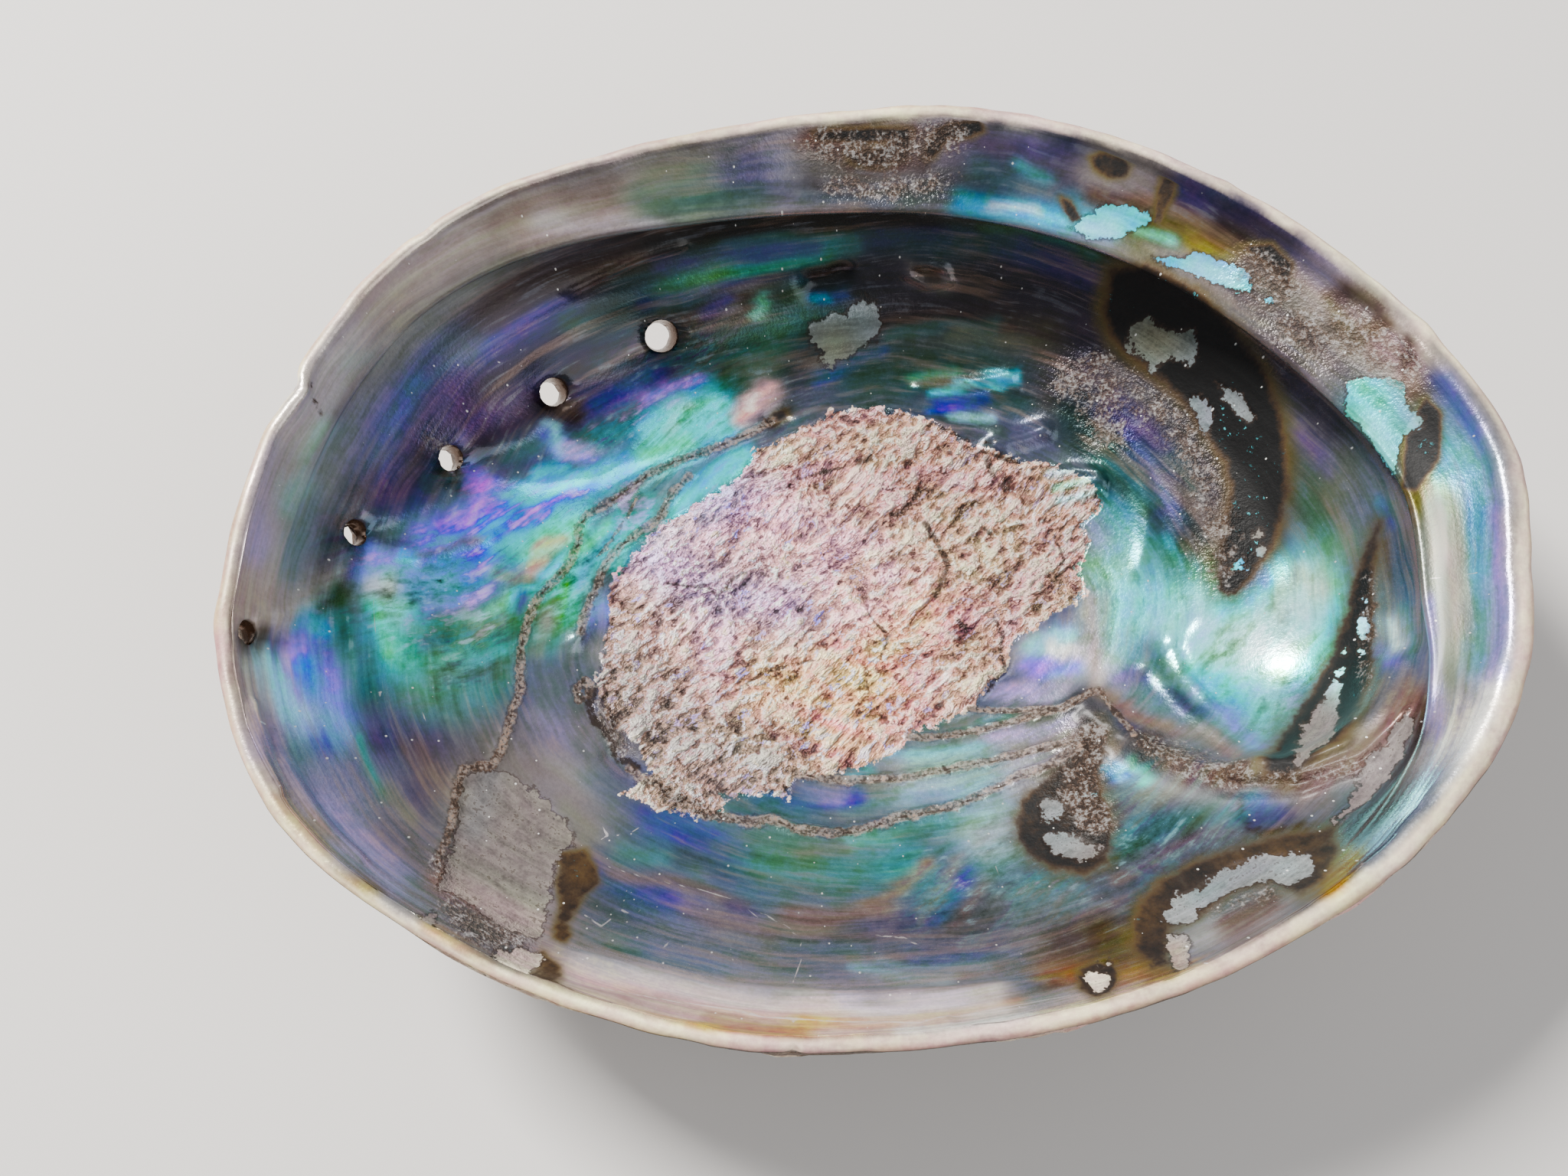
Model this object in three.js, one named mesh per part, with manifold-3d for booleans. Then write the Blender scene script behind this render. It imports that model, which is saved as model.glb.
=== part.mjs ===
// A paua shell (Haliotis iris), an abalone, lying on its back with the hollow side up.
// It grew as one piece, so it is one closed solid: back, pearly hollow, ledge, rim and open pores.
// Millimetres, +Z up. +X points to the spire end, +Y to the side with the pores and the ledge.
// The origin is the bottom centre of the shell's box, so the worn flat on the back rests on z = 0.
import * as THREE from "three";
import { mergeVertices } from "three/addons/utils/BufferGeometryUtils.js";
import Module from "manifold-3d";

const TURN = 2 * Math.PI;
const FULL_LEAN = TURN / 4 - 1e-4; // the wall's outline parameter at the rim, just short of a quarter turn

// The rim, counter-clockwise from the spire end. Each row is
// x, y, height, width of the ledge, how far the ledge overhangs (0 none, 1 fully),
// and the wall's shape outside (0.5 upright at the rim, towards 1 slanting).
const RIM = [
  [75.0, -19.0, 41.0, 10.6, 1.0, 0.6],
  [78.5, -2.0, 41.0, 12.2, 1.0, 0.58],
  [75.0, 12.5, 40.5, 13.6, 1.0, 0.55],
  [66.5, 27.0, 40.0, 13.7, 1.0, 0.52],
  [54.5, 40.5, 39.5, 13.3, 1.0, 0.5],
  [38.5, 52.0, 39.0, 13.2, 1.0, 0.5],
  [19.0, 59.5, 38.5, 13.0, 1.0, 0.5],
  [-2.5, 60.5, 38.5, 11.5, 1.0, 0.5],
  [-24.5, 58.0, 39.0, 10.1, 1.0, 0.5],
  [-44.0, 53.0, 39.5, 9.2, 0.85, 0.52],
  [-59.0, 43.0, 40.0, 8.0, 0.55, 0.56],
  [-69.5, 28.5, 41.0, 8.0, 0.3, 0.62],
  [-76.0, 12.5, 41.5, 8.0, 0.15, 0.7],
  [-78.5, -3.0, 42.0, 8.0, 0.0, 0.75],
  [-77.5, -16.0, 41.5, 8.0, 0.0, 0.78],
  [-71.5, -29.5, 41.0, 8.0, 0.0, 0.78],
  [-59.5, -41.0, 40.0, 8.0, 0.0, 0.75],
  [-43.0, -51.5, 39.0, 8.0, 0.0, 0.72],
  [-24.0, -58.5, 38.5, 8.0, 0.0, 0.7],
  [-5.0, -61.0, 38.5, 8.0, 0.0, 0.7],
  [14.5, -60.5, 39.0, 8.0, 0.0, 0.7],
  [33.0, -56.5, 39.5, 8.5, 0.0, 0.7],
  [51.0, -49.0, 40.0, 9.0, 0.0, 0.68],
  [64.5, -38.5, 40.5, 9.5, 0.35, 0.65],
  [71.5, -28.5, 41.0, 9.8, 0.8, 0.62],
];
const RIM_STEPS = 24; // samples between two rows of the table

// The back: where it rests, and the flat worn there, as a share of the way to the rim.
const POLE = { x: 8.5, y: 2.2 };
const WORN_SHARE = 0.13;

// Wall thickness at the middle and at the rim. The rim is thicker at the spire end.
const MIDDLE_THICKNESS = 4.2;
const RIM_THICKNESS = 2.0;
const SPIRE_END_EXTRA = 2.0;

// The ledge: how far its free edge lies below the rim, the hollow under it, and the rounded edge.
const LEDGE_DROP = 5.5;
const LEDGE_CURVE = 1.5;
const HOLLOW_HEIGHT = 4.5;
const HOLLOW_REACH = 3.5;
const EDGE_THICKNESS = 1.4;
const EDGE_ROUND = 0.5;
const EDGE_RUN = 5; // how far the hollow's roof runs level behind the edge
const EDGE_SAG = 0.6;

// The spire: a low coil that bulges from the back, with a spiral seam.
const SPIRE = { x: 56, y: -16, bulge: 6, spread: 14 };
const SEAM = { depth: 1.6, first: 2.6, growth: 2.35, width: 0.12, fadeFrom: 15, fadeTo: 24 };

// The fold inside, where the last turn leaves the coil: x, y and height above the wall.
const FOLD = [
  [64.5, -21.0, 2.4],
  [60.5, -27.5, 3.4],
  [52.5, -31.5, 3.4],
  [43.0, -31.0, 2.6],
  [34.5, -25.5, 1.8],
  [29.0, -17.5, 1.0],
];
const FOLD_STEPS = 5;
const FOLD_WIDTH = 2.6;

// The pores, from the oldest open one to the newest at the rim: x, y and radius.
const PORES = [
  [-24.5, 43.9, 2.0],
  [-40.6, 36.2, 1.75],
  [-54.8, 25.3, 1.6],
  [-66.4, 12.6, 1.5],
  [-77.3, -4.2, 1.3],
];
// Older pores that the shell has closed from inside, on the line that winds back into the spire.
const CLOSED_PORES = [
  [-12.5, 44.5],
  [-0.5, 46.5],
  [13.5, 46.0],
  [27.0, 42.0],
  [39.5, 34.5],
  [49.0, 24.5],
  [55.5, 12.5],
  [58.5, 0.5],
];
const PORE_RIDGE = { height: 1.0, spread: 4.5 };
const PORE_CHIMNEY = { height: 1.3, spread: 2.7 };
const BULGE_AT_RIM = 0.3; // share of a bulge that is left where it runs out at the rim
const PORE_TAPER = 1.25;
const CUTTER_SIDES = 14;
const CUTTER_REACH = 6;

// The muscle scar, a rough raised oval in the middle of the hollow.
const SCAR = { x: -1, y: 4.5, long: 35, wide: 24.5, tilt: 0.44, rise: 0.9, lump: 0.5, grain: 8.5 };

// Growth ridges on the back, all round and closer together towards the rim.
const RIDGES = { height: 0.45, waves: 6.5, from: 0.25, full: 0.5 };

// The mesh: points around, fewer near the poles, and rows.
const AROUND = 96;
const QUARTER_UNTIL = 0.12; // share of the way to the rim inside which a quarter of the points do
const HALF_UNTIL = 0.32;
const BACK_ROWS = 21;
const BACK_SPACING = 0.9; // under 1 sets the back's rows closer together towards the rim
const WALL_ROWS = 20;
const HOLLOW_ROWS = 4;
const LEDGE_ROWS = 4;

const clamp01 = (v) => Math.min(1, Math.max(0, v));
const mix = (a, b, t) => a + (b - a) * t;
const smooth = (low, high, v) => {
  const t = clamp01((v - low) / (high - low));
  return t * t * (3 - 2 * t);
};
const bell = (distance, spread) => Math.exp(-((distance / spread) ** 2));

// A value between p1 and p2 of four in a row, on a smooth curve through them.
function between(p0, p1, p2, p3, t) {
  const bend = (2 * p0 - 5 * p1 + 4 * p2 - p3) * t * t;
  const twist = (3 * p1 - p0 - 3 * p2 + p3) * t * t * t;
  return 0.5 * (2 * p1 + (p2 - p0) * t + bend + twist);
}

// The points of an open line with smooth curves between them.
function smoothLine(points, steps) {
  const last = points.length - 1;
  const line = [];
  for (let i = 0; i < last; i++) {
    const rows = [-1, 0, 1, 2].map((k) => points[Math.min(last, Math.max(0, i + k))]);
    for (let j = 0; j < steps; j++)
      line.push(points[0].map((_, column) => between(...rows.map((row) => row[column]), j / steps)));
  }
  return [...line, points[last]];
}
const FOLD_LINE = smoothLine(FOLD, FOLD_STEPS);

// The rim's table as a dense closed line, each sample with its angle seen from the pole.
function sampleRim() {
  const samples = [];
  for (let i = 0; i < RIM.length; i++) {
    const rows = [-1, 0, 1, 2].map((k) => RIM[(i + k + RIM.length) % RIM.length]);
    for (let j = 0; j < RIM_STEPS; j++) {
      const [x, y, height, ledge, overhang, wall] = RIM[0].map((_, column) =>
        between(...rows.map((row) => row[column]), j / RIM_STEPS),
      );
      const angle = Math.atan2(y - POLE.y, x - POLE.x);
      const reach = Math.hypot(x - POLE.x, y - POLE.y);
      samples.push({ angle, reach, height, ledge, overhang: clamp01(overhang), wall });
    }
  }
  return samples.sort((a, b) => a.angle - b.angle);
}
const RIM_LINE = sampleRim();

// The rim in one direction from the pole.
function rimAt(angle) {
  const a = Math.atan2(Math.sin(angle), Math.cos(angle));
  let high = RIM_LINE.findIndex((s) => s.angle > a);
  if (high < 0) high = 0;
  const before = RIM_LINE[(high + RIM_LINE.length - 1) % RIM_LINE.length];
  const after = RIM_LINE[high];
  const span = (after.angle - before.angle + TURN) % TURN;
  const t = ((a - before.angle + TURN) % TURN) / span;
  const rim = { angle: a, lip: RIM_THICKNESS + SPIRE_END_EXTRA * smooth(0.2, 1, Math.cos(a)) };
  for (const key of ["reach", "height", "ledge", "overhang", "wall"])
    rim[key] = mix(before[key], after[key], t);
  return rim;
}

// Distance from a point to a line of points, and how far along it the nearest place is.
function nearest(x, y, line) {
  let best = { distance: Infinity, at: 0 };
  for (let i = 0; i + 1 < line.length; i++) {
    const [ax, ay] = line[i];
    const [bx, by] = line[i + 1];
    const length2 = (bx - ax) ** 2 + (by - ay) ** 2;
    const t = clamp01(((x - ax) * (bx - ax) + (y - ay) * (by - ay)) / length2);
    const distance = Math.hypot(x - mix(ax, bx, t), y - mix(ay, by, t));
    if (distance < best.distance) best = { distance, at: i + t };
  }
  return best;
}

// The seam's groove round the spire: it runs outwards counter-clockwise, seen from the hollow side.
function seamGroove(x, y) {
  const radius = Math.hypot(x - SPIRE.x, y - SPIRE.y);
  const turns = Math.log(Math.max(radius, 0.5) / SEAM.first) / Math.log(SEAM.growth);
  const phase = turns - Math.atan2(y - SPIRE.y, x - SPIRE.x) / TURN;
  const off = phase - Math.round(phase);
  return SEAM.depth * bell(off, SEAM.width) * (1 - smooth(SEAM.fadeFrom, SEAM.fadeTo, radius));
}

// How far the wall bulges outwards at a place: the spire, the ridge of pores, their chimneys. A closed
// pore's chimney is filled from inside, so only the back still shows it.
function wallBulge(x, y, hollowSide) {
  const row = [...CLOSED_PORES].reverse().concat(PORES);
  let bulge = SPIRE.bulge * bell(Math.hypot(x - SPIRE.x, y - SPIRE.y), SPIRE.spread);
  bulge += PORE_RIDGE.height * bell(nearest(x, y, row).distance, PORE_RIDGE.spread);
  for (const [px, py] of hollowSide ? PORES : row)
    bulge += PORE_CHIMNEY.height * bell(Math.hypot(x - px, y - py), PORE_CHIMNEY.spread);
  return bulge;
}

// What only the back has: growth ridges, less the seam.
function backRelief(x, y, share) {
  const swell = Math.sin(TURN * RIDGES.waves * share ** 1.4 + 0.9 * Math.sin(x / 19 + y / 27));
  const strength = smooth(RIDGES.from, RIDGES.full, share) * (1 - smooth(0.97, 1, share));
  return RIDGES.height * swell * strength - seamGroove(x, y);
}

// What only the hollow side has: the scar with its lumps, and the fold.
function hollowRelief(x, y) {
  const along = (x - SCAR.x) * Math.cos(SCAR.tilt) + (y - SCAR.y) * Math.sin(SCAR.tilt);
  const across = (y - SCAR.y) * Math.cos(SCAR.tilt) - (x - SCAR.x) * Math.sin(SCAR.tilt);
  const inScar = 1 - smooth(0.86, 1.04, Math.hypot(along / SCAR.long, across / SCAR.wide));
  const g = TURN / SCAR.grain;
  const rows = Math.sin(g * along + 1.7 * Math.sin(across / 3));
  const lumps = rows * Math.sin(g * 0.8 * across + Math.sin(along / 4));
  const { distance, at } = nearest(x, y, FOLD_LINE);
  const i = Math.min(Math.floor(at), FOLD_LINE.length - 2);
  const fold = mix(FOLD_LINE[i][2], FOLD_LINE[i + 1][2], at - i) * bell(distance, FOLD_WIDTH);
  return inScar * (SCAR.rise + SCAR.lump * lumps) + fold;
}

// The back's plain outline in one direction: distance from the pole and height, lean 0 to a quarter turn.
function backCurve(rim, lean) {
  const share = Math.sin(lean);
  const worn = Math.max(0, share - WORN_SHARE) / (1 - WORN_SHARE);
  const height = rim.height * (1 - (1 - worn ** 2) ** rim.wall);
  return [rim.reach * share, height];
}

// That outline's direction, pointing towards the rim.
function backSlope(rim, lean) {
  const step = 1e-3;
  const a = backCurve(rim, Math.max(0, lean - step));
  const b = backCurve(rim, Math.min(TURN / 4 - 1e-6, lean + step));
  const length = Math.hypot(b[0] - a[0], b[1] - a[1]);
  return [(b[0] - a[0]) / length, (b[1] - a[1]) / length];
}

// A place on the back or on the hollow side: distance from the pole and height.
function wallPoint(rim, lean, hollowSide) {
  const [r, z] = backCurve(rim, lean);
  const [sr, sz] = backSlope(rim, lean);
  const share = r / rim.reach;
  const x = POLE.x + r * Math.cos(rim.angle);
  const y = POLE.y + r * Math.sin(rim.angle);
  const thickness = mix(MIDDLE_THICKNESS, rim.lip, share ** 1.5);
  let out = wallBulge(x, y, hollowSide) * smooth(WORN_SHARE, 0.4, share);
  out *= mix(1, BULGE_AT_RIM, smooth(0.9, 1, share));
  out += hollowSide ? -thickness : backRelief(x, y, share);
  let place = [r + out * sz, z - out * sr];
  if (hollowSide) {
    const inner = hollowRelief(
      POLE.x + place[0] * Math.cos(rim.angle),
      POLE.y + place[0] * Math.sin(rim.angle),
    );
    place = [place[0] - inner * sz, place[1] + inner * sr];
  }
  return place;
}

// The lean at which the hollow side's wall reaches a height.
function leanAtHeight(rim, height) {
  let low = 0.3;
  let high = FULL_LEAN;
  for (let i = 0; i < 30; i++) {
    const middle = (low + high) / 2;
    if (wallPoint(rim, middle, true)[1] < height) low = middle;
    else high = middle;
  }
  return low;
}

// The hollow side in one direction, from the pole to the rim: wall, hollow under the ledge, ledge.
function hollowCurve(angle) {
  const rim = rimAt(angle);
  const edge = [rim.reach - rim.ledge, rim.height - LEDGE_DROP];
  const topLean = leanAtHeight(rim, edge[1] - HOLLOW_HEIGHT);
  const points = [];
  for (let i = 0; i <= WALL_ROWS; i++) points.push(wallPoint(rim, (topLean * i) / WALL_ROWS, true));

  const start = points[points.length - 1];
  const [sr, sz] = backSlope(rim, topLean);
  const crest = wallPoint(rim, FULL_LEAN, true);
  const under = [edge[0] + EDGE_ROUND, edge[1] - EDGE_THICKNESS];
  const rounded = new THREE.CubicBezierCurve(
    new THREE.Vector2(...start),
    new THREE.Vector2(start[0] + sr * HOLLOW_REACH, start[1] + sz * HOLLOW_REACH),
    new THREE.Vector2(under[0] + EDGE_RUN, under[1] - EDGE_SAG),
    new THREE.Vector2(...under),
  );
  const ledge = [];
  for (let i = 1; i <= HOLLOW_ROWS; i++) ledge.push(rounded.getPoint(i / HOLLOW_ROWS).toArray());
  ledge.push([edge[0], edge[1] - EDGE_THICKNESS / 2]);
  for (let i = 0; i <= LEDGE_ROWS; i++) {
    const t = i / LEDGE_ROWS;
    ledge.push([mix(edge[0] + EDGE_ROUND, crest[0], t), mix(edge[1], crest[1], t ** LEDGE_CURVE)]);
  }
  for (const [i, shaped] of ledge.entries()) {
    const plain = wallPoint(rim, mix(topLean, FULL_LEAN, (i + 1) / ledge.length), true);
    points.push([mix(plain[0], shaped[0], rim.overhang), mix(plain[1], shaped[1], rim.overhang)]);
  }
  return points;
}

// The back in one direction, from the rim's rounded top down to the pole.
function backOutline(angle) {
  const rim = rimAt(angle);
  const inside = wallPoint(rim, FULL_LEAN, true);
  const outside = wallPoint(rim, FULL_LEAN, false);
  const [sr, sz] = backSlope(rim, FULL_LEAN);
  const bulge = rim.lip * 0.4;
  const top = [(inside[0] + outside[0]) / 2 + sr * bulge, (inside[1] + outside[1]) / 2 + sz * bulge];
  const points = [top];
  for (let i = BACK_ROWS; i >= 0; i--)
    points.push(wallPoint(rim, FULL_LEAN * (i / BACK_ROWS) ** BACK_SPACING, false));
  return points.map(([r, z]) => [r, Math.max(0, z)]);
}

// The closed surface: rings of points from the hollow's pole out to the rim and back to the outer pole.
function shellGeometry() {
  const spokes = [];
  for (let i = 0; i < AROUND; i++) {
    const angle = (TURN * i) / AROUND;
    spokes.push({ angle, points: [...hollowCurve(angle), ...backOutline(angle)] });
  }
  const rows = spokes[0].points.length;
  const vertices = [];
  const rings = [];
  for (let row = 0; row < rows; row++) {
    const atPole = row === 0 || row === rows - 1;
    const share = spokes[0].points[row][0] / rimAt(0).reach;
    const step = share < QUARTER_UNTIL ? 4 : share < HALF_UNTIL ? 2 : 1;
    const ring = [];
    for (let i = 0; i < AROUND; i += atPole ? AROUND : step) {
      const { angle, points } = spokes[i];
      const [r, z] = points[row];
      ring.push(vertices.length / 3);
      const reach = atPole ? 0 : r;
      vertices.push(POLE.x + reach * Math.cos(angle), POLE.y + reach * Math.sin(angle), z);
    }
    rings.push(ring);
  }
  const faces = [];
  for (let k = 0; k + 1 < rings.length; k++) stitch(rings[k], rings[k + 1], faces);
  const geometry = new THREE.BufferGeometry();
  geometry.setAttribute("position", new THREE.Float32BufferAttribute(vertices, 3));
  geometry.setIndex(faces);
  return geometry;
}

// Triangles between two rings whose counts are equal, or one a multiple of the other.
function stitch(inner, outer, faces) {
  const count = Math.max(inner.length, outer.length);
  const at = (ring, i) => ring[Math.floor((i * ring.length) / count) % ring.length];
  for (let i = 0; i < count; i++) {
    const [a, b, c, d] = [at(inner, i), at(outer, i), at(outer, i + 1), at(inner, i + 1)];
    if (b !== c) faces.push(a, b, c);
    if (a !== d && !(b === c && a === d)) faces.push(a, c, d);
  }
}

// A tapered pin through the wall at a pore, wider on the hollow side.
function poreCutter([x, y, radius]) {
  const rim = rimAt(Math.atan2(y - POLE.y, x - POLE.x));
  const lean = Math.asin(Math.min(0.999, Math.hypot(x - POLE.x, y - POLE.y) / rim.reach));
  const [r, z] = wallPoint(rim, lean, false);
  const [sr, sz] = backSlope(rim, lean);
  const inward = new THREE.Vector3(-sz * Math.cos(rim.angle), -sz * Math.sin(rim.angle), sr);
  const pin = new THREE.CylinderGeometry(radius * PORE_TAPER, radius, 2 * CUTTER_REACH, CUTTER_SIDES);
  pin.applyQuaternion(new THREE.Quaternion().setFromUnitVectors(new THREE.Vector3(0, 1, 0), inward));
  pin.translate(POLE.x + r * Math.cos(rim.angle), POLE.y + r * Math.sin(rim.angle), z);
  return pin;
}

const wasm = await Module();
wasm.setup();

function toSolid(geometry) {
  const bare = geometry.clone();
  bare.deleteAttribute("normal");
  bare.deleteAttribute("uv");
  const merged = mergeVertices(bare, 1e-4);
  return new wasm.Manifold(
    new wasm.Mesh({
      numProp: 3,
      vertProperties: merged.attributes.position.array,
      triVerts: new Uint32Array(merged.index.array),
    }),
  );
}

function toGeometry(solid) {
  const { vertProperties, triVerts } = solid.getMesh();
  const geometry = new THREE.BufferGeometry();
  geometry.setAttribute("position", new THREE.BufferAttribute(new Float32Array(vertProperties), 3));
  geometry.setIndex(new THREE.BufferAttribute(new Uint32Array(triVerts), 1));
  const flat = geometry.toNonIndexed();
  flat.computeVertexNormals();
  return flat;
}

let solid = toSolid(shellGeometry());
for (const pore of PORES) solid = solid.subtract(toSolid(poreCutter(pore)));

const nacre = new THREE.MeshStandardMaterial({ color: 0x7f9a9c, roughness: 0.3, metalness: 0.35 });
const shell = new THREE.Mesh(toGeometry(solid), nacre);
shell.name = "shell";

const paua = new THREE.Group();
paua.add(shell);

export default paua;
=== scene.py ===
import bmesh
import bpy
import numpy as np
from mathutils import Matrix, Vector


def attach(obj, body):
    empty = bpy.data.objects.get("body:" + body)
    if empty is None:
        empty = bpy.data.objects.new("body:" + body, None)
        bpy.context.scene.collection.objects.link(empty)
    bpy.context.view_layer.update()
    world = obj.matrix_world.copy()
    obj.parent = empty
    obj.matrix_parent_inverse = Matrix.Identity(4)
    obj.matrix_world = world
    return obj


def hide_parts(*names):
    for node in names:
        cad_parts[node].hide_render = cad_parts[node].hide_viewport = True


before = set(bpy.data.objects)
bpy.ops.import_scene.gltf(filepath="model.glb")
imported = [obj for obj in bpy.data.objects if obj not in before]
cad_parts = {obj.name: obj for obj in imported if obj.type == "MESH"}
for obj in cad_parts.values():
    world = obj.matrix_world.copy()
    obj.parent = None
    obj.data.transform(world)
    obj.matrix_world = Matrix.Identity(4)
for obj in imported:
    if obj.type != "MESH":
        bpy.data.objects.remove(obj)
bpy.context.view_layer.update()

MM = 0.001
TURN = 2 * np.pi
FULL_LEAN = TURN / 4 - 1e-4
# How far a step of one radian in lean goes along the wall, in millimetres.
WALL_PER_LEAN = 60
ZONES = {"bowl": 0, "under": 1, "edge": 2, "ledge": 3, "crest": 4, "back": 5, "pore": 6}
# The shift between two octaves of noise, and how far a scale's middle stays from its square's side.
OCTAVE_SHIFT = 17.3
SCALE_MARGIN = 0.15

# The camera, in the picture's own pixels and in millimetres.
PICTURE = (2048, 1536)
FOCAL_PIXELS = 2160
SENSOR = 36.0
LOOK_AT = np.array([-12.3, -5.8, 38.0])
DISTANCE = 199.2
ELEVATION = np.radians(70)
AZIMUTH = np.radians(-7)

# The shell's driving dimensions, in millimetres. The rim goes counter-clockwise from the spire end:
# x, y, height, width of the ledge, how far the ledge overhangs, and the wall's shape outside.
RIM = [
    (75.0, -19.0, 41.0, 10.6, 1.0, 0.6),
    (78.5, -2.0, 41.0, 12.2, 1.0, 0.58),
    (75.0, 12.5, 40.5, 13.6, 1.0, 0.55),
    (66.5, 27.0, 40.0, 13.7, 1.0, 0.52),
    (54.5, 40.5, 39.5, 13.3, 1.0, 0.5),
    (38.5, 52.0, 39.0, 13.2, 1.0, 0.5),
    (19.0, 59.5, 38.5, 13.0, 1.0, 0.5),
    (-2.5, 60.5, 38.5, 11.5, 1.0, 0.5),
    (-24.5, 58.0, 39.0, 10.1, 1.0, 0.5),
    (-44.0, 53.0, 39.5, 9.2, 0.85, 0.52),
    (-59.0, 43.0, 40.0, 8.0, 0.55, 0.56),
    (-69.5, 28.5, 41.0, 8.0, 0.3, 0.62),
    (-76.0, 12.5, 41.5, 8.0, 0.15, 0.7),
    (-78.5, -3.0, 42.0, 8.0, 0.0, 0.75),
    (-77.5, -16.0, 41.5, 8.0, 0.0, 0.78),
    (-71.5, -29.5, 41.0, 8.0, 0.0, 0.78),
    (-59.5, -41.0, 40.0, 8.0, 0.0, 0.75),
    (-43.0, -51.5, 39.0, 8.0, 0.0, 0.72),
    (-24.0, -58.5, 38.5, 8.0, 0.0, 0.7),
    (-5.0, -61.0, 38.5, 8.0, 0.0, 0.7),
    (14.5, -60.5, 39.0, 8.0, 0.0, 0.7),
    (33.0, -56.5, 39.5, 8.5, 0.0, 0.7),
    (51.0, -49.0, 40.0, 9.0, 0.0, 0.68),
    (64.5, -38.5, 40.5, 9.5, 0.35, 0.65),
    (71.5, -28.5, 41.0, 9.8, 0.8, 0.62),
]
RIM_STEPS = 24
POLE = (8.5, 2.2)
WORN_SHARE = 0.13
MIDDLE_THICKNESS = 4.2
RIM_THICKNESS = 2.0
SPIRE_END_EXTRA = 2.0
LEDGE_DROP = 5.5
LEDGE_CURVE = 1.5
EDGE_THICKNESS = 1.4
EDGE_ROUND = 0.5
EDGE_RUN = 5.0
EDGE_SAG = 0.6
HOLLOW_HEIGHT = 4.5
HOLLOW_REACH = 3.5
SPIRE = (56.0, -16.0)
SPIRE_BULGE = 6.0
SPIRE_SPREAD = 14.0
SEAM_DEPTH = 1.6
SEAM_FIRST = 2.6
SEAM_GROWTH = 2.35
SEAM_WIDTH = 0.12
SEAM_FADE = (15.0, 24.0)
FOLD = [
    (64.5, -21.0, 2.4),
    (60.5, -27.5, 3.4),
    (52.5, -31.5, 3.4),
    (43.0, -31.0, 2.6),
    (34.5, -25.5, 1.8),
    (29.0, -17.5, 1.0),
]
FOLD_STEPS = 5
FOLD_WIDTH = 2.6
PORES = [
    (-24.5, 43.9, 2.0),
    (-40.6, 36.2, 1.75),
    (-54.8, 25.3, 1.6),
    (-66.4, 12.6, 1.5),
    (-77.3, -4.2, 1.3),
]
CLOSED_PORES = [
    (-12.5, 44.5),
    (-0.5, 46.5),
    (13.5, 46.0),
    (27.0, 42.0),
    (39.5, 34.5),
    (49.0, 24.5),
    (55.5, 12.5),
    (58.5, 0.5),
]
PORE_RIDGE = 1.0
PORE_RIDGE_SPREAD = 4.5
PORE_CHIMNEY = 1.3
PORE_PIT = 0.4
PORE_CHIMNEY_SPREAD = 2.7
BULGE_AT_RIM = 0.3
PORE_TAPER = 1.25
SCAR = (-1.0, 4.5)
SCAR_LONG = 35.0
SCAR_WIDE = 24.5
SCAR_TILT = 0.44
SCAR_RISE = 0.9
SCAR_EDGE = (0.86, 1.04)
RIDGE_HEIGHT = 0.45
RIDGE_WAVES = 6.5
RIDGE_CROWDING = 1.4
RIDGE_SWAY = 0.9

# The fine mesh: points around up to each share of the way to the rim, and rows.
HOLLOW_AROUND = [(0.15, 120), (0.33, 240), (0.6, 380), (9.0, 480)]
BACK_AROUND = [(0.12, 60), (0.3, 120), (0.55, 220), (9.0, 320)]
WALL_ROWS = 150
UNDER_ROWS = 12
EDGE_ROWS = 4
LEDGE_ROWS = 24
CREST_ROWS = 6
BACK_ROWS = 56
BACK_CROWDING = 0.9
# The lean, in radians, at which the wall is taken to end when its points around are chosen.
WALL_LEAN = 1.3
# How far the rim's crest bulges, in thicknesses of the rim.
CREST_LIFT = 0.4
# A pore's wall: its rows, how much narrower its waist is, and how far along it faces are taken out, in mm.
PORE_WALL = (0.2, 0.5, 0.8)
PORE_WAIST = 0.12
PORE_HALF_LENGTH = 9

# The fine relief: turns in radians, heights and lengths in mm.
GRAIN_RADIUS = 40.0
SILK_TURN = -0.55
SCAR_TURN = -0.62
SCALE_TURN = 0.62
# The scar's scales: length, width, height and seed of the noise.
SCAR_SCALES = ((9.0, 3.0, 0.5, 1), (4.0, 1.6, 0.2, 2))
SCAR_WRINKLES = 0.35
SCAR_LUMPS = 0.7
SCAR_SINK = 0.2
STREAK_HEIGHT = 0.09
LUMP_HEIGHT = 0.16
CRUMB_HEIGHT = 0.3
PLATE_DEPTH = 0.25
PORE_SINK = 0.3
STEP_LENGTH = 3.1
STEP_HEIGHT = 0.45
WRINKLE_HEIGHT = 0.35
CRUST_HEIGHT = 0.45
PIT_DEPTH = 0.5
RIM_WAVE = 0.3
RIM_RIPPLE = 0.15
# Ways from the pole, in mm, between which the rim's waves begin, and the back's relief begins and ends.
RIM_NEAR = (84, 93)
BACK_START = (12, 22)
BACK_END = (86, 93)
EDGE_RELIEF = 0.3
# In pixels of the picture: how far out a crack's lips are, and how wide.
LIP_AWAY = 4.0
LIP_WIDTH = 4.0
# How far the paint wanders, in pixels of the picture, and how soft a stroke's sides are.
WANDER = 12.0
SOFTNESS = 0.8
FALL_OFF = 2.2
# The contrast of the cloudy noises.
MOTTLE_SPREAD = 0.3
# The depth that stands for anywhere outside an outline, in pixels, and the distance, in half widths,
# that stands for anywhere far from a line.
OUTSIDE = -60.0
FURTHEST = 12.0

# The material.
MATT_ROUGHNESS = 0.8
COAT_WEIGHT = 0.24
COAT_ROUGHNESS = 0.18
SPECULAR = 0.3
METAL = 0.55
SILKY_METAL = 0.65

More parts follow.
